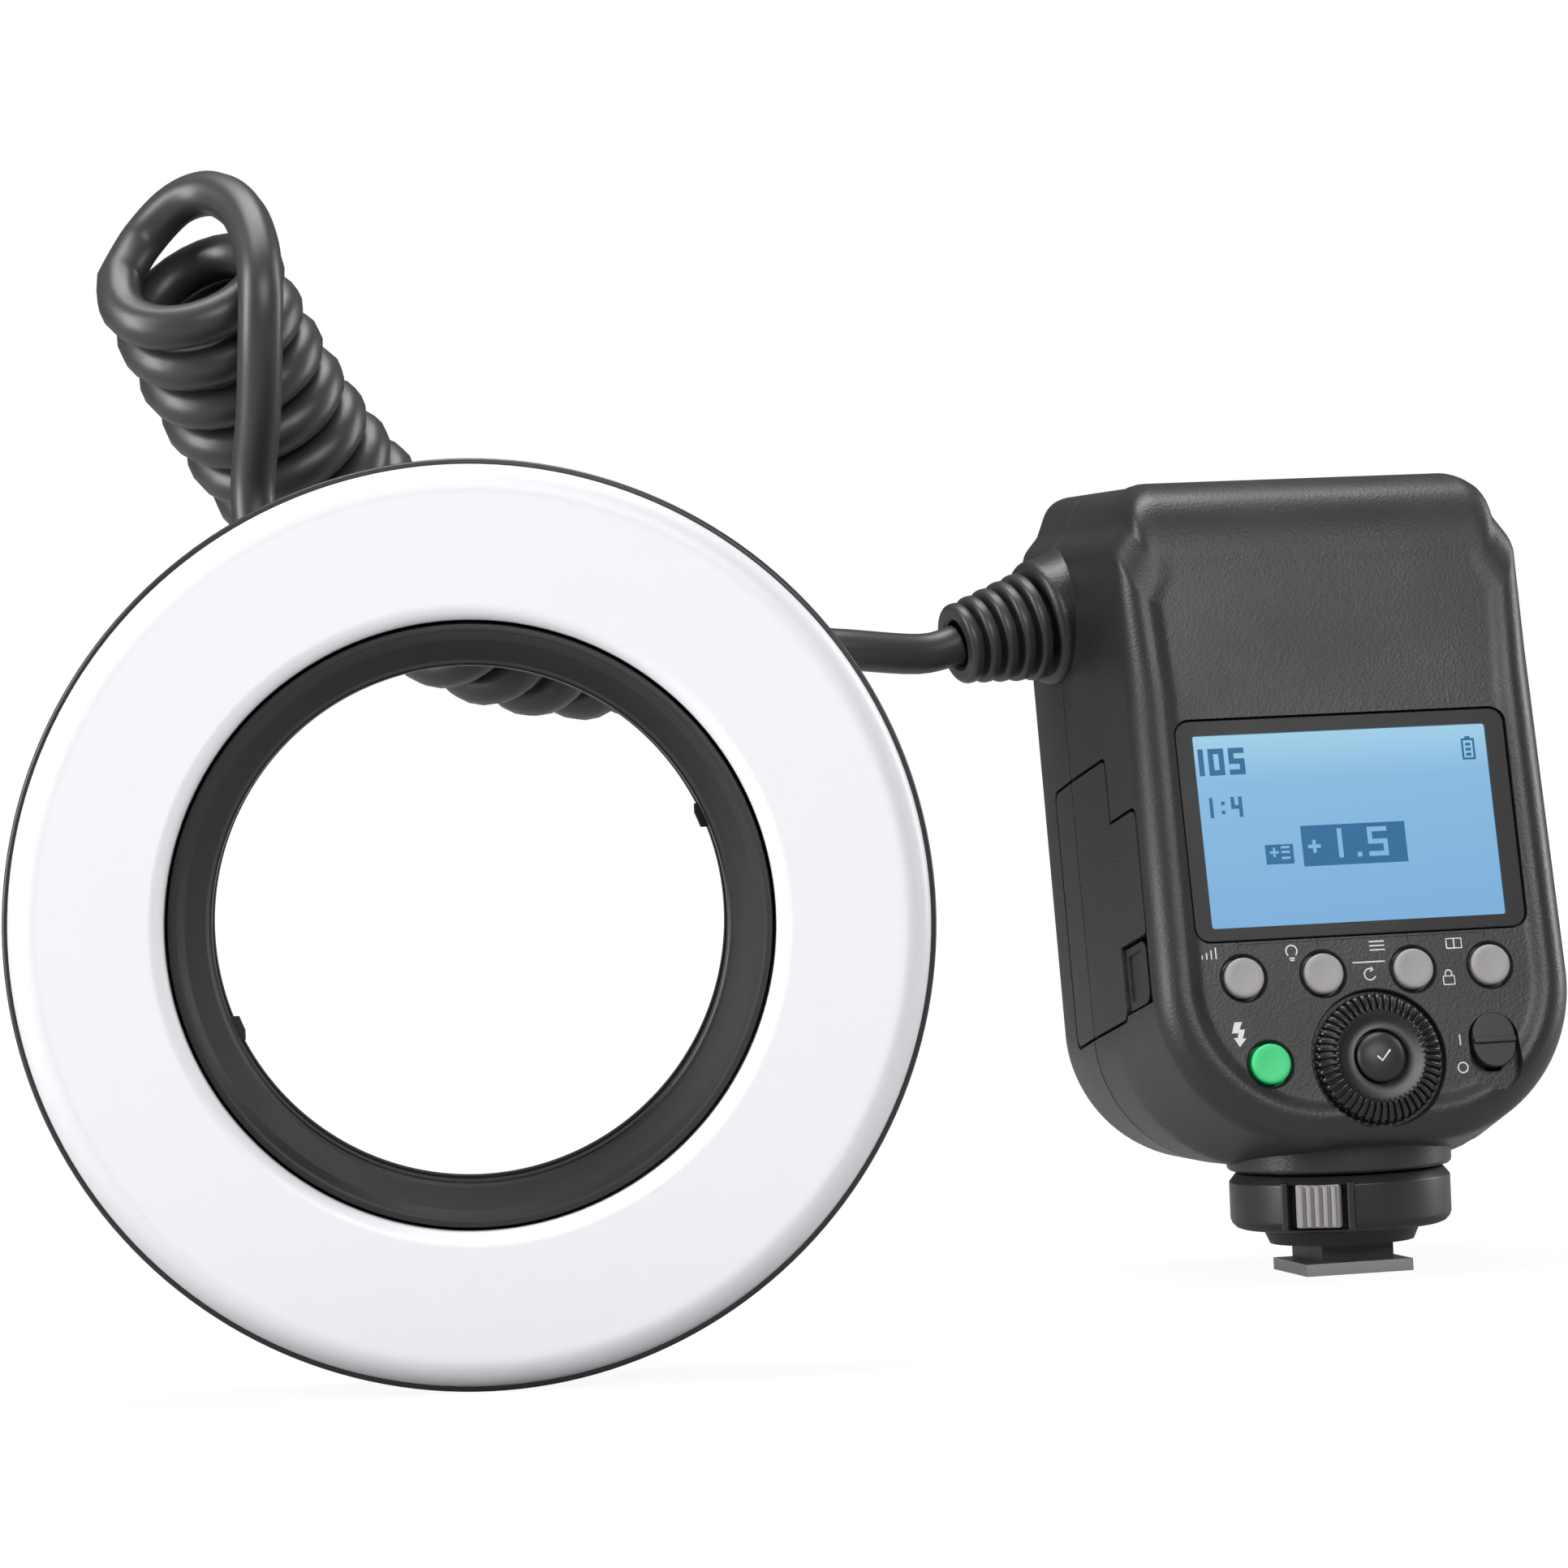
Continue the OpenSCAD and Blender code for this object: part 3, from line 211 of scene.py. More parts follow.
def rounded(x, y, w, h, r, n=6):
    """Outline of a rectangle with round corners about (x, y)."""
    a, b = w / 2 - r, h / 2 - r
    return (arc(x + a, y + b, r, 0, 90, n) + arc(x - a, y + b, r, 90, 180, n)
            + arc(x - a, y - b, r, 180, 270, n) + arc(x + a, y - b, r, 270, 360, n))


def block(name, x0, x1, y0, y1, z0, z1):
    return cutout(name, [(x0, y0), (x1, y0), (x1, y1), (x0, y1)], z0, z1)


def loft(name, rings):
    """A closed skin through rings of points, from a grid whose rows are laid on the rings."""
    rows, columns = len(rings), len(rings[0])
    deselect()
    bpy.ops.mesh.primitive_grid_add(x_subdivisions=columns, y_subdivisions=rows - 1)
    obj = fresh(name)
    points = [p for ring in rings for p in ring + ring[:1]]
    for vertex, p in zip(obj.data.vertices, points):
        vertex.co = p
    return close(obj, 1e-5)


def at(x, y, z=0):
    return Matrix.Translation((x, y, z))


def move(obj, matrix):
    pick(obj)
    obj.matrix_world = matrix
    bpy.ops.object.transform_apply(location=True, rotation=True, scale=True)
    return obj


def copy_of(obj, name):
    pick(obj)
    bpy.ops.object.duplicate(linked=False)
    return fresh(name)


def carve(obj, *tools, operation="DIFFERENCE"):
    """Cuts the tools out of the piece, joins them to it or keeps what they share, and removes them."""
    for tool in tools:
        pick(obj)
        modifier = obj.modifiers.new("carve", "BOOLEAN")
        modifier.operation = operation
        modifier.solver = "EXACT"
        modifier.object = tool
        bpy.ops.object.modifier_apply(modifier=modifier.name)
        bpy.data.objects.remove(tool)
    return obj


def weld(obj, *tools):
    """Joins the tools to the piece."""
    return carve(obj, *tools, operation="UNION")


def keep(obj, tool):
    """Keeps of the piece what it shares with the tool."""
    return carve(obj, tool, operation="INTERSECT")


def soften(obj, width, segments=2):
    """Rounds the edges sharper than 40 degrees."""
    pick(obj)
    modifier = obj.modifiers.new("soften", "BEVEL")
    modifier.width = width
    modifier.segments = segments
    modifier.limit_method = "ANGLE"
    modifier.angle_limit = radians(40)
    bpy.ops.object.modifier_apply(modifier=modifier.name)
    return obj


def join(name, pieces):
    deselect()
    for piece in pieces:
        piece.select_set(True)
    bpy.context.view_layer.objects.active = pieces[0]
    bpy.ops.object.join()
    return fresh(name)


def seat(obj, place, body, slot, look, *nodes, angle=34):
    """Puts a piece in its place in metres, smooths it, gives it its finish and lets it ride."""
    move(obj, MM @ place)
    obj.data.materials.clear()
    obj.data.materials.append(finish(look))
    for polygon in obj.data.polygons:
        polygon.material_index = 0
    bpy.ops.object.shade_smooth_by_angle(angle=radians(angle))
    modifier = obj.modifiers.new("even", "WEIGHTED_NORMAL")
    modifier.keep_sharp = True
    bpy.ops.object.modifier_apply(modifier=modifier.name)
    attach(obj, body)
    if nodes:
        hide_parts(*nodes)


def tube(name, paths, width, rounding):
    """A curve object with a round-ended tube along each path of points."""
    data = bpy.data.curves.new(name, "CURVE")
    data.dimensions = "3D"
    data.bevel_depth = width / 2
    data.bevel_resolution = rounding
    data.use_fill_caps = True
    for path in paths:
        spline = data.splines.new("POLY")
        spline.points.add(len(path) - 1)
        for point, place in zip(spline.points, path):
            point.co = (*place, 1)
        spline.use_smooth = True
    obj = bpy.data.objects.new(name, data)
    bpy.context.scene.collection.objects.link(obj)
    return obj


# Finishes

def add(tree, kind, inputs=None, **settings):
    """Adds a node with its settings, and sets or links its inputs."""
    node = tree.nodes.new(kind)
    for key, value in settings.items():
        setattr(node, key, value)
    for key, value in (inputs or {}).items():
        if isinstance(value, bpy.types.NodeSocket):
            tree.links.new(value, node.inputs[key])
        else:
            node.inputs[key].default_value = value
    return node


def blank(name):
    """A new material, its node tree, and in it the place of the point that is shaded."""
    material = bpy.data.materials.new(name)
    material.use_nodes = True
    tree = material.node_tree
    tree.nodes.clear()
    return material, tree, add(tree, "ShaderNodeTexCoord").outputs["Object"]


def shade(colour_value, factor):
    return [min(1, c * factor) for c in colour_value[:3]] + [1]


def remap(tree, value, start=0, stop=1, low=0, high=1):
    """The value's way from start to stop, laid out from low to high and held there."""
    spans = {"Value": value, "From Min": start, "From Max": stop, "To Min": low, "To Max": high}
    return add(tree, "ShaderNodeMapRange", spans).outputs["Result"]


def combine(tree, operation, a, b):
    return add(tree, "ShaderNodeMath", {0: a, 1: b}, operation=operation).outputs[0]


def noise(tree, place, scale, detail):
    texture = add(tree, "ShaderNodeTexNoise", {"Vector": place, "Scale": scale, "Detail": detail})
    return texture.outputs["Fac"]


def blend(tree, factor, low, high):
    """A colour between two colours."""
    mix = add(tree, "ShaderNodeMix", {"Factor": factor}, data_type="RGBA")
    mix.inputs[6].default_value = low
    mix.inputs[7].default_value = high
    return mix.outputs[2]


def bumps(tree, height, strength, depth):
    """The normals of a surface with bumps of the given depth in mm."""
    sizes = {"Height": height, "Strength": strength, "Distance": depth / 1000}
    return add(tree, "ShaderNodeBump", sizes).outputs["Normal"]


def surface(tree, sockets):
    """Ends a material in one principled surface with the given inputs."""
    shader = add(tree, "ShaderNodeBsdfPrincipled", sockets)
    add(tree, "ShaderNodeOutputMaterial", {"Surface": shader.outputs["BSDF"]})


def lit_surface(tree, glow, strength):
    """Dark smooth glass that glows."""
    surface(tree, {"Base Color": (0.01, 0.01, 0.012, 1), "Roughness": 0.3, "Specular IOR Level": 0.12,
                   "Emission Color": glow, "Emission Strength": strength})


def moulded(name, tone, rough, grain, depth, mottle=0.12, kind="noise", sockets=None):
    """A moulded or cast surface: grain and depth in mm, a slow change of tone, and roughness with it."""
    material, tree, place = blank(name)
    if kind == "leather":
        cells = add(tree, "ShaderNodeTexVoronoi", {"Vector": place, "Scale": 1000 / grain},
                    feature="SMOOTH_F1")
        height = cells.outputs["Distance"]
    else:
        height = noise(tree, place, 1000 / grain, 3)
    slow = noise(tree, place, 45, 4)
    surface(tree, {
        "Base Color": blend(tree, slow, shade(tone, 1 - mottle), shade(tone, 1 + mottle)),
        "Roughness": remap(tree, slow, 0.3, 0.7, rough - 0.05, rough + 0.05),
        "Normal": bumps(tree, height, 0.6, depth), **(sockets or {})})
    return material


def opal_finish(name, tone):
    """Opal polycarbonate: milky white that spreads light inside, with painted shade that greys it towards
    its outer edge, where the edge rolls away from the light.
    """
    material, tree, place = blank(name)
    # Distance from the ring's axis: the mask of the painted edge shade
    local = add(tree, "ShaderNodeVectorMath", {0: place, 1: RING_POS * 0.001}, operation="SUBTRACT")
    turned = add(tree, "ShaderNodeVectorRotate", {"Vector": local.outputs[0], "Angle": -RING_YAW},
                 rotation_type="Z_AXIS")
    parts = add(tree, "ShaderNodeSeparateXYZ", {"Vector": turned.outputs[0]}).outputs
    flat = add(tree, "ShaderNodeCombineXYZ", {"X": parts["X"], "Y": parts["Z"]})
    reach = add(tree, "ShaderNodeVectorMath", {0: flat.outputs[0]}, operation="LENGTH").outputs["Value"]
    surface(tree, {
        # Painted shade: the colour darkens to 0.68 of its tone from 62.5 to 67.5 mm out from the ring's
        # axis, in place of light falling off on the outer roll
        "Base Color": blend(tree, remap(tree, reach, 0.0625, 0.0675), tone, shade(tone, 0.68)),
        "Roughness": 0.38, "Subsurface Weight": 0.25, "Subsurface Radius": (0.003, 0.003, 0.0032),
        "Normal": bumps(tree, noise(tree, place, 900, 3), 0.5, 0.004)})
    return material


def screen_finish(name, top, foot):
    """Backlit liquid-crystal glass: an even glow, paler towards the lamp at the upper edge."""
    material, tree, place = blank(name)
    turned = add(tree, "ShaderNodeMapping", {"Vector": place, "Rotation": (FACE_FLAT, 0, 0)})
    up = add(tree, "ShaderNodeSeparateXYZ", {"Vector": turned.outputs["Vector"]})
    face_v = (MM @ FACE @ Vector((0, WINDOW[1], 0))).to_3d()
    face_v.rotate(Matrix.Rotation(FACE_FLAT, 3, "X"))
    rise = remap(tree, up.outputs["Y"], face_v.y - 0.016, face_v.y + 0.016)
    ramp = add(tree, "ShaderNodeValToRGB", {"Fac": rise})
    ramp.color_ramp.elements[0].color = foot
    ramp.color_ramp.elements[1].color = top
    middle = ramp.color_ramp.elements.new(0.75)
    middle.color = [a * 0.72 + b * 0.28 for a, b in zip(foot, top)]
    lit_surface(tree, ramp.outputs["Color"], 0.95)
    return material


def ink_finish(name, tone):
    """Dark liquid-crystal dots with thin pale lines between them, 0.4 mm apart."""
    material, tree, place = blank(name)
    turned = add(tree, "ShaderNodeMapping", {"Vector": place, "Rotation": (FACE_FLAT, 0, 0)})
    grid = add(tree, "ShaderNodeTexBrick", {
        "Vector": turned.outputs["Vector"], "Color1": tone, "Color2": tone, "Mortar": shade(tone, 1.5),
        "Scale": 1000, "Mortar Size": 0.05, "Brick Width": 0.4, "Row Height": 0.4}, offset=0)
    lit_surface(tree, grid.outputs["Color"], 0.9)
    return material


def steel_finish(name, tone, rough, along):
    """Drawn or rolled metal: fine lines along one direction that spread the light across it."""
    material, tree, place = blank(name)
    drawn = add(tree, "ShaderNodeMapping", {"Vector": place, "Scale": along})
    lines = noise(tree, drawn.outputs["Vector"], 1, 4)
    surface(tree, {"Base Color": tone, "Metallic": 1, "Normal": bumps(tree, lines, 0.4, 0.02),
                   "Roughness": remap(tree, lines, 0, 1, rough - 0.1, rough + 0.15)})
    return material


def finish(name):
    """The named finish, made once. The comments say what each gives the eye."""
    known = bpy.data.materials.get(name)
    if known:
        return known
    tones = bpy.context.scene.ring_flash_colours
    body = list(tones.body)
    moulds = {
        # Moulded ABS with a leather-like spark-eroded grain: charcoal, satin, soft wide highlights
        "abs_grained": (body, 0.42, 0.45, 0.06, 0.12, "leather"),
        # The same ABS from a finer mould, on the moving pieces: a little darker and closer
        "abs_fine": (shade(body, 0.8), 0.42, 0.3, 0.01),
        # Polished ABS of the dial and the lens socket: dark with tight highlights
        "abs_polished": (shade(body, 0.55), 0.3, 0.4, 0.004),
        # Matt glass-filled nylon of the light baffle: it swallows stray light
        "nylon_matt": (linear("#202021"), 0.56, 0.35, 0.012),
        # Soft rubber of the cord: black with a dull sheen
        "cord_rubber": (list(tones.cord), 0.5, 0.5, 0.012, 0.12, "noise", {"Sheen Weight": 0.1}),
        # Silicone keys, spray painted: pale warm grey or green, silky
        "key_silicone": (list(tones.key), 0.4, 0.35, 0.004, 0.03),
        "test_silicone": (list(tones.test_key), 0.4, 0.35, 0.004, 0.03),
        # Black-painted rim behind the acrylic window: dark grey and glossy
        "acrylic_rim": (linear("#1f1f20"), 0.34, 6, 0.001, 0.06, "noise", {"Specular IOR Level": 0.25}),
        # Pad-printed paint: flat off-white
        "print_white": (linear("#e4e4e5"), 0.5, 0.3, 0.002, 0.03),
        # Borosilicate tube: clear, slightly grey
        "tube_glass": (linear("#dfe4ea"), 0.12, 8, 0.001, 0.02, "noise",
                       {"Transmission Weight": 0.7, "IOR": 1.47}),
        # Fired ceramic: chalky warm white
        "ceramic_white": (linear("#e9e5dc"), 0.6, 0.4, 0.01, 0.04),
        # Lacquer of the boards: deep green, half glossy
        "solder_mask_green": (linear("#1c5a35"), 0.4, 1.0, 0.006, 0.1),
        # Phosphor on the modelling lamps: pale matt yellow
        "phosphor_yellow": (linear("#e8d670"), 0.5, 0.3, 0.01, 0.05),
        # Shrink sleeves of the capacitor and the cells: smooth and shiny
        "sleeve_black": (linear("#1b1c22"), 0.3, 2, 0.004, 0.1),
        "cell_sleeve_blue": (linear("#3d6fa6"), 0.35, 2, 0.004, 0.08),
        # Acrylic light guide behind the screen: pale and polished
        "guide_acrylic": (linear("#eef1f4"), 0.2, 2, 0.002, 0.02),
    }
    metals = {
        # Nickel-plated steel, rolled along the foot: pale grey with fine lines
        "steel_rolled": (linear("#b4b5b8"), 0.34, (400, 9000, 9000)),
        # Pressed aluminium behind the flash tubes: bright
        "reflector_aluminium": (linear("#d5d7da"), 0.22, (3000, 3000, 3000)),
        # Gold-flashed brass of the contacts: warm and bright
        "contact_gold": (linear("#d9b566"), 0.3, (6000, 6000, 900)),
        # Copper windings under varnish: red-brown with fine lines
        "winding_copper": (linear("#b06b3d"), 0.35, (300, 12000, 12000)),
    }
    lights = {
        "opal_polycarbonate": (opal_finish, tones.diffuser),
        "lcd_glass": (screen_finish, tones.screen_top, tones.screen_foot),
        "lcd_ink": (ink_finish, tones.screen_ink),
    }
    if name in moulds:
        return moulded(name, *moulds[name])
    if name in metals:
        return steel_finish(name, *metals[name])
    maker, *glows = lights[name]
    return maker(name, *(list(glow) for glow in glows))


# Cord

CORD_A = Vector((-195.5, -59.2, 166.8))
CORD_Q = Vector((-161.6, -16.6, 104.8))
CORD_B = Vector((-113, 0, 112))
CURL_R = 10.8
CURLS = 14.7
CURL_START = 233.4
PITCH_GROWTH = 0.08
BEND_N = 64
LOOP = ((-187.2, -70.4, 145), (-187, -73.9, 156), (-186.6, -73.8, 163.8), (-186.3, -69.3, 170.4),
        (-187.3, -62.4, 176.1), (-190.4, -55.4, 179.2), (-195.1, -50.8, 178.1), (-200.4, -48.8, 172.8))
UNIT_ROUTE = ((-111, 20, 117), (-100, 22, 112.5), (-88, 22, 108.5), (-75, 23, 107))
CORD_LEAD = 6.9
RELIEF_TIP = RING @ Vector((-29.5, 60, -6.5))
UNIT_TIP = BOSS @ Vector((0, 0, 18))


def bend(u):
    return (1 - u) ** 2 * CORD_A + 2 * u * (1 - u) * CORD_Q + u * u * CORD_B


def bend_way(u):
    return (2 * (1 - u) * (CORD_Q - CORD_A) + 2 * u * (CORD_B - CORD_Q)).normalized()


COIL_N = bend_way(0).cross(bend_way(1)).normalized()
BEND_STEPS = [0.0]
for step in range(1, BEND_N + 1):
    BEND_STEPS.append(BEND_STEPS[-1] + (bend(step / BEND_N) - bend((step - 1) / BEND_N)).length)


def bend_at(k):
    """The share of the bend at curl k; the pitch grows along the coil."""
    t = k / CURLS
    goal = BEND_STEPS[-1] * (t - PITCH_GROWTH * t * (1 - t))
    i = next((n for n in range(1, BEND_N) if BEND_STEPS[n] >= goal), BEND_N)
    return (i - 1 + (goal - BEND_STEPS[i - 1]) / (BEND_STEPS[i] - BEND_STEPS[i - 1])) / BEND_N


def curl(k):
    u = bend_at(k)
    turn = radians(CURL_START + 360 * k)
    side = COIL_N.cross(bend_way(u))
    return bend(u) + CURL_R * (cos(turn) * COIL_N + sin(turn) * side)


def curl_way(k):
    return (curl(min(k + 0.01, CURLS)) - curl(max(k - 0.01, 0))).normalized()


def run(route, steps):
    """A smooth line through the route's points."""
    line = []
    last = len(route) - 1
    for i in range(last):
        a, b, c, d = route[max(i - 1, 0)], route[i], route[i + 1], route[min(i + 2, last)]
        for n in range(steps):
            u = n / steps
            line.append(0.5 * (2 * b + (c - a) * u + (2 * a - 5 * b + 4 * c - d) * u * u
                               + (3 * b - a - 3 * c + d) * u ** 3))
    return line + [route[-1]]


def cord_line():
    """The whole cord in millimetres, from the ring's relief to the unit's relief."""
    start = curl(0) - 3 * curl_way(0)
    end = curl(CURLS) + CORD_LEAD * curl_way(CURLS)
    out = BOSS_TURN.to_3x3() @ Vector((0, 0, 1))
    loop = [Vector(p) for p in LOOP]
    ring_run = run([RELIEF_TIP, RELIEF_TIP + Vector((0, 0, CORD_LEAD)), *loop, start], 7)
    turns = round(CURLS * 28)
    coil = [curl(CURLS * i / turns) for i in range(turns + 1)]
    way = [Vector(p) for p in UNIT_ROUTE]
    unit_run = run([end, end + 4 * curl_way(CURLS), *way, UNIT_TIP + CORD_LEAD * out, UNIT_TIP], 5)
    return ring_run + coil + unit_run


class RINGFLASH_OT_cord(bpy.types.Operator):
    """Curly cord from the ring head to the control unit"""
    bl_idname = "ringflash.cord"
    bl_label = "Curly cord"

    def execute(self, context):
        line = [p * 0.001 for p in cord_line()]
        size = context.scene.ring_flash_sizes.cord_diameter
        obj = tube("curly_cord", [line], size, 4)
        obj.data.materials.append(finish("cord_rubber"))
        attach(obj, "base")
        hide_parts("cord_ring_run", "cord_coil", "cord_unit_run")
        return {"FINISHED"}


# Ring head

def ring_baffle(grooves):
    """The cone inside the ring with its stray-light grooves."""
    z0, z1, r0, r1 = 14, 24.6, 38.3, 42.6
    foot = z0 + 1.2
    pitch = (z1 - 2.4 - foot) / grooves

    def cone(z):
        return r0 + (r1 - r0) * (z - z0) / (z1 - z0)

    profile = [(r0, z0), (42.4, z0), (42.4, foot), (cone(foot) + 2, foot), (r1 + 1.3, z1 - 2.4),
               (44, z1 - 2.4), (44, z1 - 0.5), (43.85, z1 - 0.15), (43.5, z1), (r1 + 0.5, z1),
               (r1 + 0.1, z1 - 0.2), (r1, z1 - 0.6)]
    for i in reversed(range(grooves)):
        base = foot + pitch * i
        profile += [(cone(base + 0.9 * pitch), base + 0.9 * pitch),
                    (cone(base) + 0.55, base + 0.55 * pitch),
                    (cone(base) + 0.5, base + 0.4 * pitch), (cone(base), base)]
    return lathe("light_baffle", profile, ROUND)


LATCH_Z = (2.25, 6.95)


def latch_room(piece, name, side, x0, x1, y0, y1):
    """Cuts the opening of one latch; the other latch is the same, turned half round."""
    x, y = sorted((x0 * side, x1 * side)), sorted((y0 * side, y1 * side))
    carve(piece, block(name, *x, *y, *LATCH_Z))


def ring_housing():
    """Rear housing with its cord block, latch openings and screw wells."""
    profile = [(40.6, 0)] + arc(65, 3, 3, -90, 0, 8)
    profile += [(68, 13.5), (67.9, 13.75), (67.6, 13.9), (66, 13.9), (66, 2.2), (42.4, 2.2), (42.4, 14),
                (40.6, 14)]
    housing = lathe("ring_back", profile, ROUND)
    cord_block = soften(cutout("cord_block", rounded(-29.5, 39.8, 15, 10.4, 3), -12, 1.5), 1.2, 3)
    carve(cord_block, lathe("flange_room", [(0, -2.85), (47.1, -2.85), (47.1, 0), (0, 0)], 96))
    weld(housing, cord_block)
    for side in (1, -1):
        latch_room(housing, "pad_room", side, 63, 71, -19.4, -7.2)
        latch_room(housing, "claw_room", side, 36, 44, 11.9, 19.2)
    for turn in (45, 135, 225, 315):
        well = lathe("screw_well", [(0, -1), (2.5, -1), (2.5, 1.8), (1.25, 1.8), (1.25, 9), (0, 9)], 32)
        carve(housing, move(well, at(52 * cos(radians(turn)), 52 * sin(radians(turn)))))
    return housing


class RINGFLASH_OT_ring_head(bpy.types.Operator):
    """Diffuser, rim, baffle, rear housing and lens socket of the ring head"""
    bl_idname = "ringflash.ring_head"
    bl_label = "Ring head"

    def execute(self, context):
        cover = [(66.8, 17.2), (66.8, 24.05), (67.15, 24.1)] + arc(63.2, 22.8, 4.2, 22, 90, 14)
        cover += arc(46.9, 24.6, 2.4, 90, 180, 10) + [(44.5, 18), (46.5, 18), (46.5, 24), (47.5, 25)]
        cover += arc(63.2, 22.8, 2.2, 90, 0, 6) + [(65, 17.2)]
        cover = lathe("diffuser", cover, ROUND)
        seat(cover, RING, "base", "diffuser", "opal_polycarbonate", "ring_diffuser")
        rim = [(67.7, 14.05), (67.9, 14.15), (68, 14.4)] + arc(67.4, 23.45, 0.6, 0, 90, 4)
        rim += [(66.95, 24.05), (66.9, 17.1), (62.5, 17), (62.5, 15.4), (66, 15.4), (66, 14.05)]
        rim = lathe("rim", rim, ROUND)
        seat(rim, RING, "base", "black_plastic", "abs_fine", "ring_front_bezel")
        baffle = ring_baffle(context.scene.ring_flash_sizes.baffle_grooves)
        seat(baffle, RING, "base", "dark_plastic", "nylon_matt", "baffle_ring", angle=25)
        seat(ring_housing(), RING, "base", "black_plastic", "abs_grained", "ring_rear_housing")
        socket = [(38, -2.2), (38.3, -2.5), (46.4, -2.5), (47, -1.9), (47, 0), (40.4, 0), (40.4, 13.7),
                  (38.3, 13.7), (38, 13.4), (38, 8.2), (38.6, 8.2), (38.6, 1.9), (38, 1.9)]
        socket = lathe("lens_seat", socket, ROUND)
        for side in (1, -1):
            latch_room(socket, "claw_room", side, 34, 42, 11.9, 19.2)
        seat(socket, RING, "base", "dark_plastic", "abs_polished", "lens_socket")
        return {"FINISHED"}


# Strain reliefs

def relief(name, foot_r, tip_r, core_r, z0, reach, ribs, root):
    """A tapered sleeve with rounded ribs and deep grooves between them."""
    pitch = reach / ribs
    profile = list(root)
    for i in range(ribs):
        r = foot_r + (tip_r - foot_r) * i / (ribs - 1)
        valley = max(core_r + 0.3, r - 2.2)
        z = z0 + pitch * i
        profile += [(valley, z), (valley, z + 0.3 * pitch), (r - 0.6, z + 0.32 * pitch)]
        profile += [(p, q * pitch + z) for p, q in ((r - 0.2, 0.36), (r, 0.46), (r, 0.72), (r - 0.1, 0.84),
                                                    (r - 0.35, 0.94), (r - 0.8, 1))]
    profile += [(tip_r - 1, z0 + reach), (core_r, z0 + reach), (core_r - 0.5, z0 + reach - 0.5),
                (core_r - 0.5, root[0][1])]
    return lathe(name, profile, 96)


class RINGFLASH_OT_reliefs(bpy.types.Operator):
    """Ribbed strain reliefs at both ends of the cord"""
    bl_idname = "ringflash.reliefs"
    bl_label = "Strain reliefs"

    def execute(self, context):
        unit = relief("unit_relief", 9.2, 6.9, 4.6, 3, 15, 5,
                      [(3.6, -7), (8, -7), (8, -5), (6, -5), (6, 3)])
        seat(unit, BOSS, "base", "cord_rubber", "cord_rubber", "unit_cord_relief")
        ring = relief("ring_relief", 5.5, 4.6, 3.9, 3, 12, 4, [(3.4, 0), (5.6, 0), (5.6, 2.6), (5.2, 3)])
        place = RING @ Matrix.Translation((-29.5, 45, -6.5)) @ Matrix.Rotation(-pi / 2, 4, "X")
        seat(ring, place, "base", "cord_rubber", "cord_rubber", "ring_cord_relief")
        return {"FINISHED"}


# Body of the control unit

def up_at(z, d):
    return (z - FACE_Z + d * sin(LEAN)) / cos(LEAN)


def outline(d, w):
    """Corners of the body's outline at depth d, for a skin that lies w inside: x, height, radius."""
    f = d - w
    e = min(d, SEAM_D)
    half = HALF_W - DRAFT * (1 - e / SEAM_D)
    low = max(-7.2, up_at(18, d))
    roll = 12 * (1 - sqrt(1 - (1 - f / ROLL_D) ** 2)) if f < ROLL_D else 0
    top = up_at(132, max(f, ROLL_D)) - roll
    upper = min(up_at(125.3, d), top - 5.5)
    lower = min(up_at(122, d), top - 10)
    right = [(half, low, 27 - 5 * e / SEAM_D), (half - 1.2, lower, 4), (half - 4.2, upper, 3),
             (half - 5.2 - 0.055 * e, top, min(6, 0.8 * (top - upper)))]
    return right + [(-x, v, r) for x, v, r in reversed(right)]


def edge(x, r):
    """How far a rounding of radius r lies inside the side, at x from where it starts."""
    return 0 if x >= r else r - sqrt(r * r - (r - max(x, 0)) ** 2)


def wedge(a, b, c):
    """Both ways out of the corner b, and half the angle between them."""
    p, q = (a - b).normalized(), (c - b).normalized()
    return p, q, acos(max(-1, min(1, p.dot(q)))) / 2


def ring_at(d, w=0, more=0, arcs=8, straights=4):
    """Points of the body's outline at depth d, inset by its roundings and by more."""
    corners = outline(d, w)
    inset = w + edge(d - w, EDGE_R) + edge(BODY_D - w - d, BACK_R) + more
    count = len(corners)
    moved = []
    for k in range(count):
        a, b, c = (Vector(corners[(k + s) % count][:2]) for s in (-1, 0, 1))
        p, q, half = wedge(a, b, c)
        sign = 1 if (b - a).cross(c - b) > 0 else -1
        spot = b + sign * (p + q).normalized() * inset / sin(half)
        moved.append((spot, max(corners[k][2] - sign * inset, 0.4)))
    arcs_at = []
    for k in range(count):
        a, b, c = (moved[(k + s) % count][0] for s in (-1, 0, 1))
        r = moved[k][1]
        p, q, half = wedge(a, b, c)
        middle = b + (p + q).normalized() * r / sin(half)
        u, v = b + p * r / tan(half) - middle, b + q * r / tan(half) - middle
        t0 = atan2(u.y, u.x)
        dt = (atan2(v.y, v.x) - t0 + pi) % (2 * pi) - pi
        steps = 3 * arcs if corners[k][2] > 12 else arcs
        turns = [t0 + dt * i / steps for i in range(steps + 1)]
        arcs_at.append([middle + r * Vector((cos(t), sin(t))) for t in turns])
    points = []
    for k in range(count):
        points += arcs_at[k]
        start, stop = arcs_at[k][-1], arcs_at[(k + 1) % count][0]
        points += [start.lerp(stop, i / straights) for i in range(1, straights)]
    return [(p.x, p.y, -d) for p in points]


def smooth(t):
    t = max(0, min(1, t))
    return t * t * (3 - 2 * t)


def below_roll(v):
    """How much of the lip there is at height v: it runs out below the top roll."""
    return 1 - smooth((v - 70) / 26)


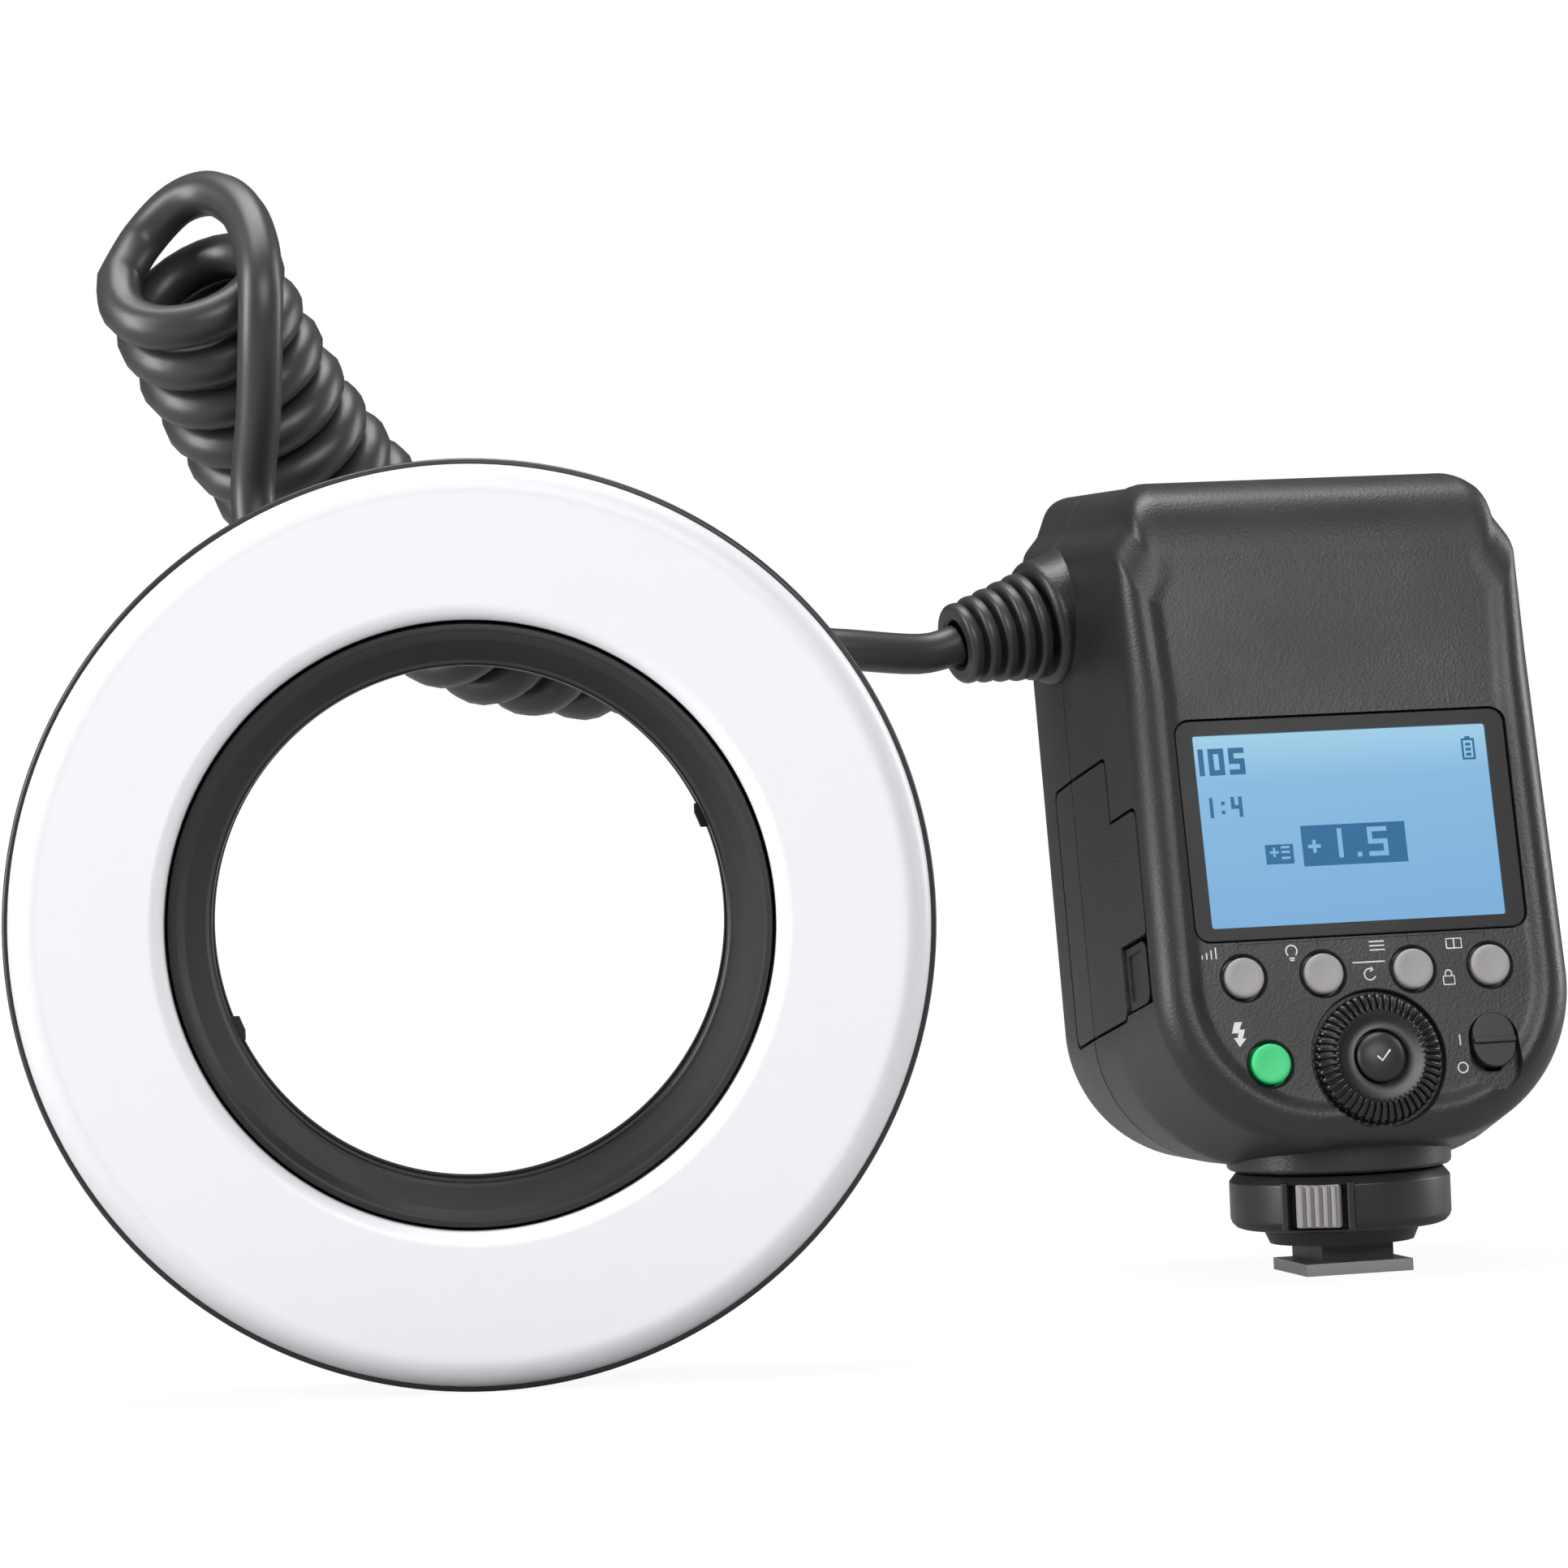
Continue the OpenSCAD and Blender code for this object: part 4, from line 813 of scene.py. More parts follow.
def drawn_in(points, t):
    """The points moved by t towards the middle of the face."""
    result = []
    for x, v, z in points:
        inner = Vector((max(-9, min(9, x)), max(19, min(80, v))))
        p = Vector((x, v))
        p += (inner - p).normalized() * t(v)
        result.append((p.x, p.y, z))
    return result


def front_ring(d):
    """The outline at depth d with the softer edge that the face has below its top roll."""
    extra = edge(d, FRONT_R) - edge(d, EDGE_R)
    return drawn_in(ring_at(d), lambda v: extra * below_roll(v))


def face_ring(t, lip):
    """A ring on the face, t inside the edge rounding, raised into the soft lip."""
    rise = lip * (0.5 + 0.5 * cos(pi * min(1, t / 3)))
    return [(x, v, rise * below_roll(v)) for x, v, _ in drawn_in(front_ring(0), lambda v: t)]


def body_skin(name, lip, seam):
    """The whole outer skin: face with its lip, top roll, seam groove and rounded back."""
    rings = [face_ring(t, lip) for t in (3.6, 3.0, 2.6, 2.2, 1.8, 1.4, 1.0, 0.5)]
    for i in range(11):
        d = FRONT_R * (1 - cos(radians(9 * i)))
        rise = lip * (1 - smooth(i / 10)) if i else lip
        rings.append([(x, v, z + rise * below_roll(v)) for x, v, z in front_ring(d)])
    depths = [5.2, 6, 7.2, 8.6, 10.2, 12, 14, 16, 20, 23.8, 25, 28, 32, 35.78]
    rings += [ring_at(d) for d in depths]
    rings += [ring_at(35.84, more=0.9 * seam), ring_at(35.9, more=seam), ring_at(36.1, more=seam),
              ring_at(36.16, more=0.9 * seam), ring_at(36.22)]
    rings += [ring_at(d) for d in (38, 41, 44, 47, 50)]
    rings += [ring_at(BODY_D - BACK_R * (1 - cos(radians(9 * i)))) for i in range(10, -1, -1)]
    return loft(name, rings)


def core_skin(name, w):
    depths = [w, w + 0.4, w + 1.2, w + 2.4, w + 4, w + 7, w + 10, w + 13, w + 16, 24, 30, 36, 44, 52 - w,
              55 - w, 57.5 - w, 59.3 - w, 60 - w]
    return loft(name, [ring_at(d, w, arcs=5, straights=2) for d in depths])


def side_plate(name, outline_dv, x0, x1):
    """A plate seen from the side: its outline is in depth and height, its thickness along x."""
    plate = cutout(name, outline_dv, x0, x1)
    turn = Matrix(((0, 0, 1, 0), (0, 1, 0, 0), (-1, 0, 0, 0), (0, 0, 0, 1)))
    return move(plate, turn)


def battery_outline(c):
    """Outline of the battery cap and its front wing, grown by c: depth and height."""
    d0, d1, v0, v1 = 17.7 - c, 46 + c, 17.8 - c, 61.8 + c
    w0, wv0, wv1 = 4.6 - c, 29.7 - c, 50.8 + c
    r = 1.6
    cap = arc(d0 + r, v1 - r, r, 180, 90, 5) + arc(d1 - r, v1 - r, r, 90, 0, 5)
    cap += arc(d1 - r, v0 + r, r, 0, -90, 5) + arc(d0 + r, v0 + r, r, -90, -180, 5)
    wing = arc(w0 + 1, wv0 + 1, 1, 270, 180, 4) + arc(w0 + 2, wv1 - 2, 2, 180, 90, 5)
    return [(d0, wv1)] + cap + [(d0, wv0)] + wing


def latch_outline(c):
    d0, d1, v0, v1 = 7 - c, 17.3 + c, 19 - c, 29.3 + c
    return (arc(d0 + 2, v1 - 2, 2, 180, 90, 5) + arc(d1 - 0.6, v1 - 0.6, 0.6, 90, 0, 3)
            + arc(d1 - 0.6, v0 + 0.6, 0.6, 0, -90, 3) + arc(d0 + 2, v0 + 2, 2, -90, -180, 5))


def boss_collar():
    """The round collar that the cord's relief sits in, flared into the side of the body."""
    profile = [(0, -9), (12.2, -7), (11.5, -4.2), (11.05, -2), (10.85, -0.4), (10.8, 1)]
    profile += arc(9.2, 1.3, 1.6, 0, 100, 8) + [(8.9, 2.5), (0, 2.5)]
    return lathe("boss_collar", profile, 96)


BOSS_IN_FACE = FACE.inverted() @ BOSS


def shell(context):
    """Both shells as one hollow body with all its openings."""
    sizes = context.scene.ring_flash_sizes
    lip, seam = sizes.lip_height * 1000, sizes.seam_depth * 1000
    body = body_skin("shell", lip, seam)
    weld(body, move(boss_collar(), BOSS_IN_FACE))
    carve(body, core_skin("core", 2))
    bore = [(0, -12), (8.35, -12), (8.35, -4.95), (6.1, -4.95), (6.1, 12), (0, 12)]
    carve(body, move(lathe("boss_bore", bore, 64), BOSS_IN_FACE))
    carve(body, side_plate("battery_room", battery_outline(0.35), -60, -31.2))
    carve(body, side_plate("latch_room", [(4.4, 18.4), (4.4, 29.7), (18, 29.7), (18, 18.4)], -60, -31.2))
    carve(body, block("port_room", 20.65, 33.35, -20, 12, -30.35, -15.65))
    disc = lathe("base_room", [(0, 10), (18.8, 10), (18.8, 23.5), (0, 23.5)], 96)
    carve(body, move(disc, FACE.inverted()))
    x, v, w, h = WINDOW
    carve(body, cutout("window_room", rounded(x, v, w + 0.5, h + 0.5, 2.75, 8), -1.85, 3))
    carve(body, cutout("window_hole", rounded(x, v, w - 2.4, h - 2.4, 1.2), -9, 0))
    for key_x, key_v in [(k, KEY_V) for k in KEY_X] + [(TEST_X, LOW_V)]:
        well = [(0, -9), (3.7, -9), (3.7, -0.5), (3.95, -0.2), (4.15, 0.05), (4.3, 2), (0, 2)]
        carve(body, move(lathe("key_well", well, 64), at(key_x, key_v)))
    dial_well = [(0, -9), (6.9, -9), (6.9, -1.4), (11.25, -1.4), (11.4, -0.2), (11.65, 0.05), (11.8, 3),
                 (0, 3)]
    carve(body, move(lathe("dial_well", dial_well, 96), at(DIAL_X, LOW_V)))
    carve(body, cutout("switch_room", rounded(SWITCH_X, LOW_V, 8.7, 12.9, 4.34, 12), -1.9, 3))
    carve(body, cutout("switch_slot", rounded(SWITCH_X, LOW_V, 3.2, 6.1, 0.8), -9, 0))
    for key_x in KEY_X:
        carve(body, block("tick", key_x - 0.62, key_x - 0.34, KEY_V + 4.6, 27.1, -0.22, 2))
    carve(body, block("under_line", KEY_X[0] - 0.62, KEY_X[3] - 0.34, 26.2, 26.4, -0.14, 2))
    return body


class RINGFLASH_OT_shells(bpy.types.Operator):
    """Front and rear shell of the control unit"""
    bl_idname = "ringflash.shells"
    bl_label = "Body shells"

    def execute(self, context):
        front = shell(context)
        rear = copy_of(front, "back_shell")
        front.name = "face_shell"
        carve(front, block("back_half", -80, 80, -60, 160, -90, -SEAM_D))
        carve(rear, block("front_half", -80, 80, -60, 160, -SEAM_D, 20))
        seat(front, FACE, "base", "black_plastic", "abs_grained", "front_shell", angle=28)
        seat(rear, FACE, "base", "black_plastic", "abs_grained", "rear_shell", angle=28)
        return {"FINISHED"}


class RINGFLASH_OT_battery(bpy.types.Operator):
    """Battery pack with its end cap in the side, and the latch that holds it"""
    bl_idname = "ringflash.battery"
    bl_label = "Battery pack and latch"

    def execute(self, context):
        seam = context.scene.ring_flash_sizes.seam_depth * 1000
        cap = body_skin("battery_cap", 0, seam)
        keep(cap, side_plate("cap_zone", battery_outline(-0.2), -60, -33.8))
        pack = soften(side_plate("pack", rounded(31, 39.5, 22.5, 41, 3), -34.2, 30), 0.6)
        weld(cap, pack)
        shelf = block("shelf", -33.45, -32.25, 19, 29.3, -19.7, -5)
        weld(cap, shelf)
        seat(cap, FACE, "battery", "black_plastic", "abs_grained", "battery_case", angle=28)
        latch = core_skin("pack_latch", 0.5)
        keep(latch, side_plate("latch_zone", latch_outline(0), -60, -33.8))
        hollow = side_plate("latch_hollow", latch_outline(-1.3), -60, -33)
        carve(hollow, core_skin("latch_floor", 0.85))
        carve(latch, hollow)
        seat(latch, FACE, "battery_catch", "dark_plastic", "abs_fine", "battery_latch")
        return {"FINISHED"}


class RINGFLASH_OT_port_cover(bpy.types.Operator):
    """Swinging cover of the port in the lower corner"""
    bl_idname = "ringflash.port_cover"
    bl_label = "Port cover"

    def execute(self, context):
        cover = body_skin("port_flap_cover", 0, 0.01)
        carve(cover, core_skin("core", 1.7))
        zone = block("port_zone", 21, 33, -20, 12, -30, -16)
        keep(cover, zone)
        beyond = block("hinge_end", 0, 40, -20, 20, -40, 0)
        turn = Matrix.Rotation(radians(59), 4, "Z")
        carve(cover, move(beyond, at(33.1, 4.4) @ turn))
        nail = block("nail_slot", 21.5, 23.5, -20, 12, -24.5, -21.5)
        carve(nail, core_skin("keep", 0.6))
        carve(cover, nail)
        seat(cover, FACE, "port_flap", "black_plastic", "abs_grained", "port_cover", angle=28)
        return {"FINISHED"}


# Display

SEGMENTS = {"0": "abcdef", "1": "bc", "2": "abged", "3": "abgcd", "4": "fgbc", "5": "afgcd", "6": "afgedc",
            "7": "abc", "8": "abcdefg", "9": "abcdfg"}


def figure(digit, x, y, w, h, t):
    """Bars of one seven-part figure whose lower left corner is (x, y)."""
    half = (h + t) / 2
    tall = h - half + t
    bars = {"a": (0, h - t, w, t), "g": (0, half - t, w, t), "d": (0, 0, w, t), "e": (0, 0, t, half),
            "f": (0, half - t, t, tall), "b": (w - t, half - t, t, tall), "c": (w - t, 0, t, half)}
    return [(x + bars[s][0], y + bars[s][1], bars[s][2], bars[s][3]) for s in SEGMENTS[digit]]


INK_Z = (-0.76, -0.7)


def bars_piece(name, bars, z0, z1):
    """Flat bars joined to one piece; bars that meet are united first."""
    pieces = [block(name, x, x + w, y, y + h, z0, z1) for x, y, w, h in bars]
    whole = pieces[0]
    weld(whole, *pieces[1:])
    return whole


class RINGFLASH_OT_display(bpy.types.Operator):
    """Window rim, lit screen and the figures on it"""
    bl_idname = "ringflash.display"
    bl_label = "Display"

    def execute(self, context):
        x, v, w, h = WINDOW
        lit_w, lit_h = 50.8, 32.3
        lx, lv = x - 0.15, v - 0.15
        rim = cutout("window_rim", rounded(x, v, w, h, 2.5, 8), -1.8, -0.2)
        soften(rim, 0.22, 3)
        carve(rim, cutout("lit_hole", rounded(lx, lv, lit_w, lit_h, 0.5), -5, 3))
        seat(rim, FACE, "base", "display_glass", "acrylic_rim", "display_window")
        panel = soften(cutout("lit_screen", rounded(lx, lv, lit_w + 1, lit_h + 1, 0.6), -4.2, -0.75), 0.1)
        trim = cutout("screen_step", rounded(lx, lv, lit_w + 3, lit_h + 3, 0.6), -1.9, 0)
        carve(trim, cutout("screen_keep", rounded(lx, lv, lit_w - 0.1, lit_h - 0.1, 0.45), -3, 2))
        carve(panel, trim)
        seat(panel, FACE, "base", "display_blue", "lcd_glass", "display_panel")
        left, top = lx - lit_w / 2, lv + lit_h / 2
        dark = []
        for i, digit in enumerate("105"):
            dark += figure(digit, left - 1 + 3.5 * i, top - 6.7, 2.7, 4.5, 0.9)
        dark += figure("1", left + 0.6, top - 13.8, 1.9, 3.4, 0.6)
        dark += [(left + 3.9, top - 13.2, 0.6, 0.6), (left + 3.9, top - 11.7, 0.6, 0.6)]
        dark += figure("4", left + 5.6, top - 13.8, 1.9, 3.4, 0.6)
        bx, by = left + lit_w * 0.914, top - 6.0
        dark += [(bx, by, 0.35, 3.6), (bx + 1.95, by, 0.35, 3.6), (bx, by, 2.3, 0.35),
                 (bx, by + 3.25, 2.3, 0.35), (bx + 0.7, by + 3.6, 0.9, 0.35)]
        dark += [(bx + 0.7, by + 0.65 + 0.85 * i, 0.9, 0.5) for i in range(3)]
        ink = bars_piece("screen_figures", dark, *INK_Z)
        label = block("screen_label", left + 17, left + 35, top - 22.6, top - 15.8, *INK_Z)
        pale = [(left + 18, top - 19.6, 2.2, 0.6), (left + 18.8, top - 20.4, 0.6, 2.2),
                (left + 26.4, top - 21.4, 0.8, 0.8)]
        pale += figure("1", left + 20.6, top - 21.4, 3.4, 4.9, 0.8)
        pale += figure("5", left + 28.4, top - 21.4, 3.4, 4.9, 0.8)
        carve(label, bars_piece("pale", pale, -1, 1))
        small = block("screen_icon", left + 10.6, left + 15.4, top - 22, top - 18.7, *INK_Z)
        pale = [(left + 11.3, top - 20.2, 1.6, 0.4), (left + 11.9, top - 20.8, 0.4, 1.6)]
        pale += [(left + 13.3, top - down, 1.5, 0.4) for down in (21.2, 20.2, 19.4)]
        carve(small, bars_piece("pale", pale, -1, 1))
        whole = join("screen_figures", [ink, label, small])
        seat(whole, FACE, "base", "display_blue", "lcd_ink")
        return {"FINISHED"}


# Controls

class RINGFLASH_OT_keys(bpy.types.Operator):
    """Four round keys and the green test key"""
    bl_idname = "ringflash.keys"
    bl_label = "Round keys"

    def execute(self, context):
        rise = context.scene.ring_flash_sizes.key_rise * 1000
        profile = [(0, -9), (1.5, -9), (1.5, -3.1), (4.3, -3.1), (4.3, -2.35), (3.3, -2.3)]
        profile += [(3.3, rise - 0.45)] + arc(2.85, rise - 0.45, 0.45, 20, 90, 5)
        profile += [(2, rise - 0.05), (1, rise - 0.08), (0, rise - 0.09)]
        cap = lathe("key_cap", profile, 64)
        bodies = ("key_one", "key_two", "key_three", "key_four")
        for i, (x, body) in enumerate(zip(KEY_X, bodies)):
            key = copy_of(cap, f"round_key_{i + 1}")
            seat(key, FACE @ at(x, KEY_V), body, "key_grey", "key_silicone",
                 f"key_{i + 1}")
        cap.name = "green_key"
        seat(cap, FACE @ at(TEST_X, LOW_V), "flash_test", "key_green",
             "test_silicone", "test_key")
        return {"FINISHED"}


class RINGFLASH_OT_dial(bpy.types.Operator):
    """Ridged dial and the key in its centre"""
    bl_idname = "ringflash.dial"
    bl_label = "Dial"

    def execute(self, context):
        ridges = context.scene.ring_flash_sizes.dial_ridges
        profile = [(4.55, -7.2), (6.8, -7.2), (6.8, -1.05), (10.2, -1.05), (10.6, -0.8), (10.72, -0.3),
                   (10.75, 0.2), (10.6, 0.6), (10.2, 0.95), (9.6, 1.25), (9, 1.5), (8.4, 1.68),
                   (7.8, 1.78), (7.5, 1.6), (7.2, 1.45), (6.8, 1.38), (6, 1.25), (5.2, 1.2),
                   (4.75, 1.25), (4.55, 1.1)]
        dial = lathe("ridged_dial", profile, ridges * 8)
        for vertex in dial.data.vertices:
            x, y, z = vertex.co
            r = sqrt(x * x + y * y)
            if r > 7.4 and z > -0.6:
                phase = atan2(y, x) * ridges / (2 * pi) % 1
                depth = smooth((abs(phase - 0.5) - 0.22) / 0.14)
                reach = smooth((r - 7.4) / 0.5)
                vertex.co.z = z - 0.75 * depth * reach * (1 if r < 10.4 else 0.5)
                if r > 10.4:
                    shrink = 1 - 0.05 * depth
                    vertex.co.x, vertex.co.y = x * shrink, y * shrink
        place = FACE @ at(DIAL_X, LOW_V)
        seat(dial, place, "dial", "dark_plastic", "abs_polished", "control_dial", angle=38)
        dome = [(0, -9), (2, -9), (2, -0.95), (4.8, -0.95), (4.8, -0.3), (4.2, -0.2), (4.2, 1),
                (4.1, 1.25), (3.9, 1.5), (3.5, 1.78), (3, 2.02), (2.4, 2.22), (1.7, 2.36), (0.9, 2.44),
                (0, 2.46)]
        key = lathe("centre_dome", dome, 96)
        seat(key, place, "centre_key", "dark_plastic", "abs_fine", "set_key")
        return {"FINISHED"}


class RINGFLASH_OT_switch(bpy.types.Operator):
    """Sliding power switch"""
    bl_idname = "ringflash.switch"
    bl_label = "Power switch"

    def execute(self, context):
        pill = arc(0, 0.9, 3.65, 0, 180, 20) + arc(0, -0.9, 3.65, 180, 360, 20)
        knob = soften(cutout("switch_knob", pill, -1.5, 0.45), 0.25, 3)
        bar = soften(cutout("knob_bar", rounded(0, -0.05, 7.2, 1, 0.3), -1, 1.05), 0.18)
        weld(knob, bar)
        stem = block("stem", -1, 1, -0.95, 0.95, -8.3, -1)
        weld(knob, stem)
        place = FACE @ at(SWITCH_X, 8.3)
        seat(knob, place, "switch", "dark_plastic", "abs_fine", "power_switch")
        return {"FINISHED"}


# Printed marks

def strokes(name, paths, width):
    """Round-ended printed strokes along paths of points, made a flat mesh."""
    pick(tube(name, [[(x, y, 0) for x, y in path] for path in paths], width, 2))
    bpy.ops.object.convert(target="MESH")
    return move(bpy.context.object, Matrix.Diagonal((1, 1, 0.12, 1)))


# Each printed pictogram: its place on the face and its strokes about that place
PICTOGRAMS = (
    (-26.7, 25, [[(0.8 * i - 1.2, -0.8), (0.8 * i - 1.2, 0.4 * i - 0.1)] for i in range(4)]),
    (-12.6, 24.6, [arc(0, 0.25, 0.95, -50, 230, 16), [(-0.45, -0.95), (0.45, -0.95)],
                   [(-0.35, -1.3), (0.35, -1.3)]]),
    (2.1, 25, [[(-1.3, s), (1.3, s)] for s in (-0.7, 0, 0.7)]),
    (0.4, 20.3, [arc(0, 0, 0.95, 60, 340, 16), [(0.3, 1.2), (0.6, 0.75), (0.05, 0.5)],
                 [(-2.8, 2.05), (2.8, 2.05)]]),
    (15.4, 24.7, [[(-1.3, -0.8), (1.3, -0.8), (1.3, 0.8), (-1.3, 0.8), (-1.3, -0.8)],
                  [(0, -0.8), (0, 0.8)]]),
    (13.9, 18.8, [[(-0.95, -0.9), (0.95, -0.9), (0.95, 0.5), (-0.95, 0.5), (-0.95, -0.9)],
                  [(-0.55, 0.5)] + arc(0, 0.95, 0.55, 180, 0, 10) + [(0.55, 0.5)]]),
    (14.6, 8.6, [[(0, -0.9), (0, 0.9)], arc(0, -4.6, 0.85, 0, 360, 18)]),
)
BOLT_X = -23.2
BOLT_V = 11.6
BOLT = ((-0.4, 2), (0.9, 2), (0.35, 0.75), (1.25, 0.75), (0.75, -0.75), (1.35, -0.75), (0.1, -2.1),
        (-0.75, -0.6), (-0.1, -0.6), (0.1, 0.2), (-1, 0.2))


class RINGFLASH_OT_marks(bpy.types.Operator):
    """Plain printed pictograms and numbers beside the controls"""
    bl_idname = "ringflash.marks"
    bl_label = "Printed marks"

    def execute(self, context):
        paths = [[(x + a, v + b) for a, b in path] for x, v, drawn in PICTOGRAMS for path in drawn]
        lines = strokes("face_marks", paths, 0.22)
        bolt = cutout("bolt_mark", [(BOLT_X + a, BOLT_V + b) for a, b in BOLT], -0.05, 0.02)
        seat(join("face_marks", [lines, bolt]), FACE, "base", "key_grey", "print_white")
        tick = strokes("centre_mark", [[(-1.1, 0), (-0.3, -0.8), (1.2, 0.9)]], 0.3)
        place = FACE @ at(DIAL_X, LOW_V, 2.47)
        seat(tick, place, "centre_key", "key_grey", "print_white")
        return {"FINISHED"}


# Shoe

class RINGFLASH_OT_shoe(bpy.types.Operator):
    """Base disc, lock collar and release of the shoe"""
    bl_idname = "ringflash.shoe"
    bl_label = "Shoe foot"

    def execute(self, context):
        base = [(0, 7.25), (12, 7.25), (12, 17.3), (17.7, 17.3), (18.2, 17.4), (18.6, 17.75), (18.7, 18.2),
                (18.7, 23.4), (0, 23.4)]
        base = lathe("foot_disc", base, 128)
        seat(base, STAND, "base", "black_plastic", "abs_grained", "foot_base")
        collar = [(12.1, 7.6), (16.6, 7.6), (17.4, 7.9), (18.1, 8.6), (18.4, 9.4), (18.4, 15.3),
                  (18.3, 15.6), (17.3, 16.8), (17, 16.95), (12.1, 16.95)]
        collar = lathe("locking_collar", collar, 160)
        turn = Matrix.Rotation(radians(240), 4, "Z")
        carve(collar, move(block("release_room", 14.6, 24, -5.2, 5.2, 8.15, 15.6), turn))
        for side in (-1, 1):
            guard = soften(block("guard", 15, 18.5, *sorted((5 * side, 6.1 * side)), 8.1, 16), 0.3)
            weld(collar, move(guard, turn))
        seat(collar, STAND, "collar", "black_plastic", "abs_fine", "lock_collar")
        pad = block("release_pad", 16.2, 18.3, -3.7, 3.7, 8.5, 15.7)
        soften(pad, 0.35, 2)
        for i in range(5):
            y = -3.2 + 1.4 * i
            weld(pad, soften(block("rib", 17.2, 19, y, y + 0.8, 8.7, 15.5), 0.25))
        seat(move(pad, turn), STAND, "release", "key_grey", "key_silicone", "lock_release")
        return {"FINISHED"}


# Pieces that keep their CAD shape

CAD_FINISHES = {
    "black_plastic": "abs_grained", "dark_plastic": "abs_fine", "diffuser": "opal_polycarbonate",
    "key_grey": "key_silicone", "key_green": "test_silicone", "display_glass": "acrylic_rim",
    "display_blue": "lcd_glass", "light_guide": "guide_acrylic", "cord_rubber": "cord_rubber",
    "steel": "steel_rolled", "reflector_metal": "reflector_aluminium", "tube_glass": "tube_glass",
    "ceramic": "ceramic_white", "board_green": "solder_mask_green", "led_yellow": "phosphor_yellow",
    "can_black": "sleeve_black", "winding": "winding_copper", "contact_gold": "contact_gold",
    "cell_blue": "cell_sleeve_blue",
}


class RINGFLASH_OT_inner_pieces(bpy.types.Operator):
    """Finishes of the pieces that keep their CAD shape"""
    bl_idname = "ringflash.inner_pieces"
    bl_label = "Inner pieces"

    def execute(self, context):
        for part in frame["record"]["subparts"]:
            obj = frame["nodes"][part["node"]]
            if obj.hide_render:
                continue
            material = finish(CAD_FINISHES[part["material_slot"]])
            if not obj.material_slots:
                obj.data.materials.append(material)
            for held in obj.material_slots:
                held.material = material
        return {"FINISHED"}


# Stage

def lamp(name, spot, aim, size, power, tall=None):
    data = bpy.data.lights.new(name, "AREA")
    data.shape = "RECTANGLE"
    data.size = size
    data.size_y = tall or size
    data.energy = power
    obj = bpy.data.objects.new(name, data)
    obj.location = spot
    obj.rotation_euler = (Vector(aim) - Vector(spot)).to_track_quat("-Z", "Y").to_euler()
    bpy.context.scene.collection.objects.link(obj)


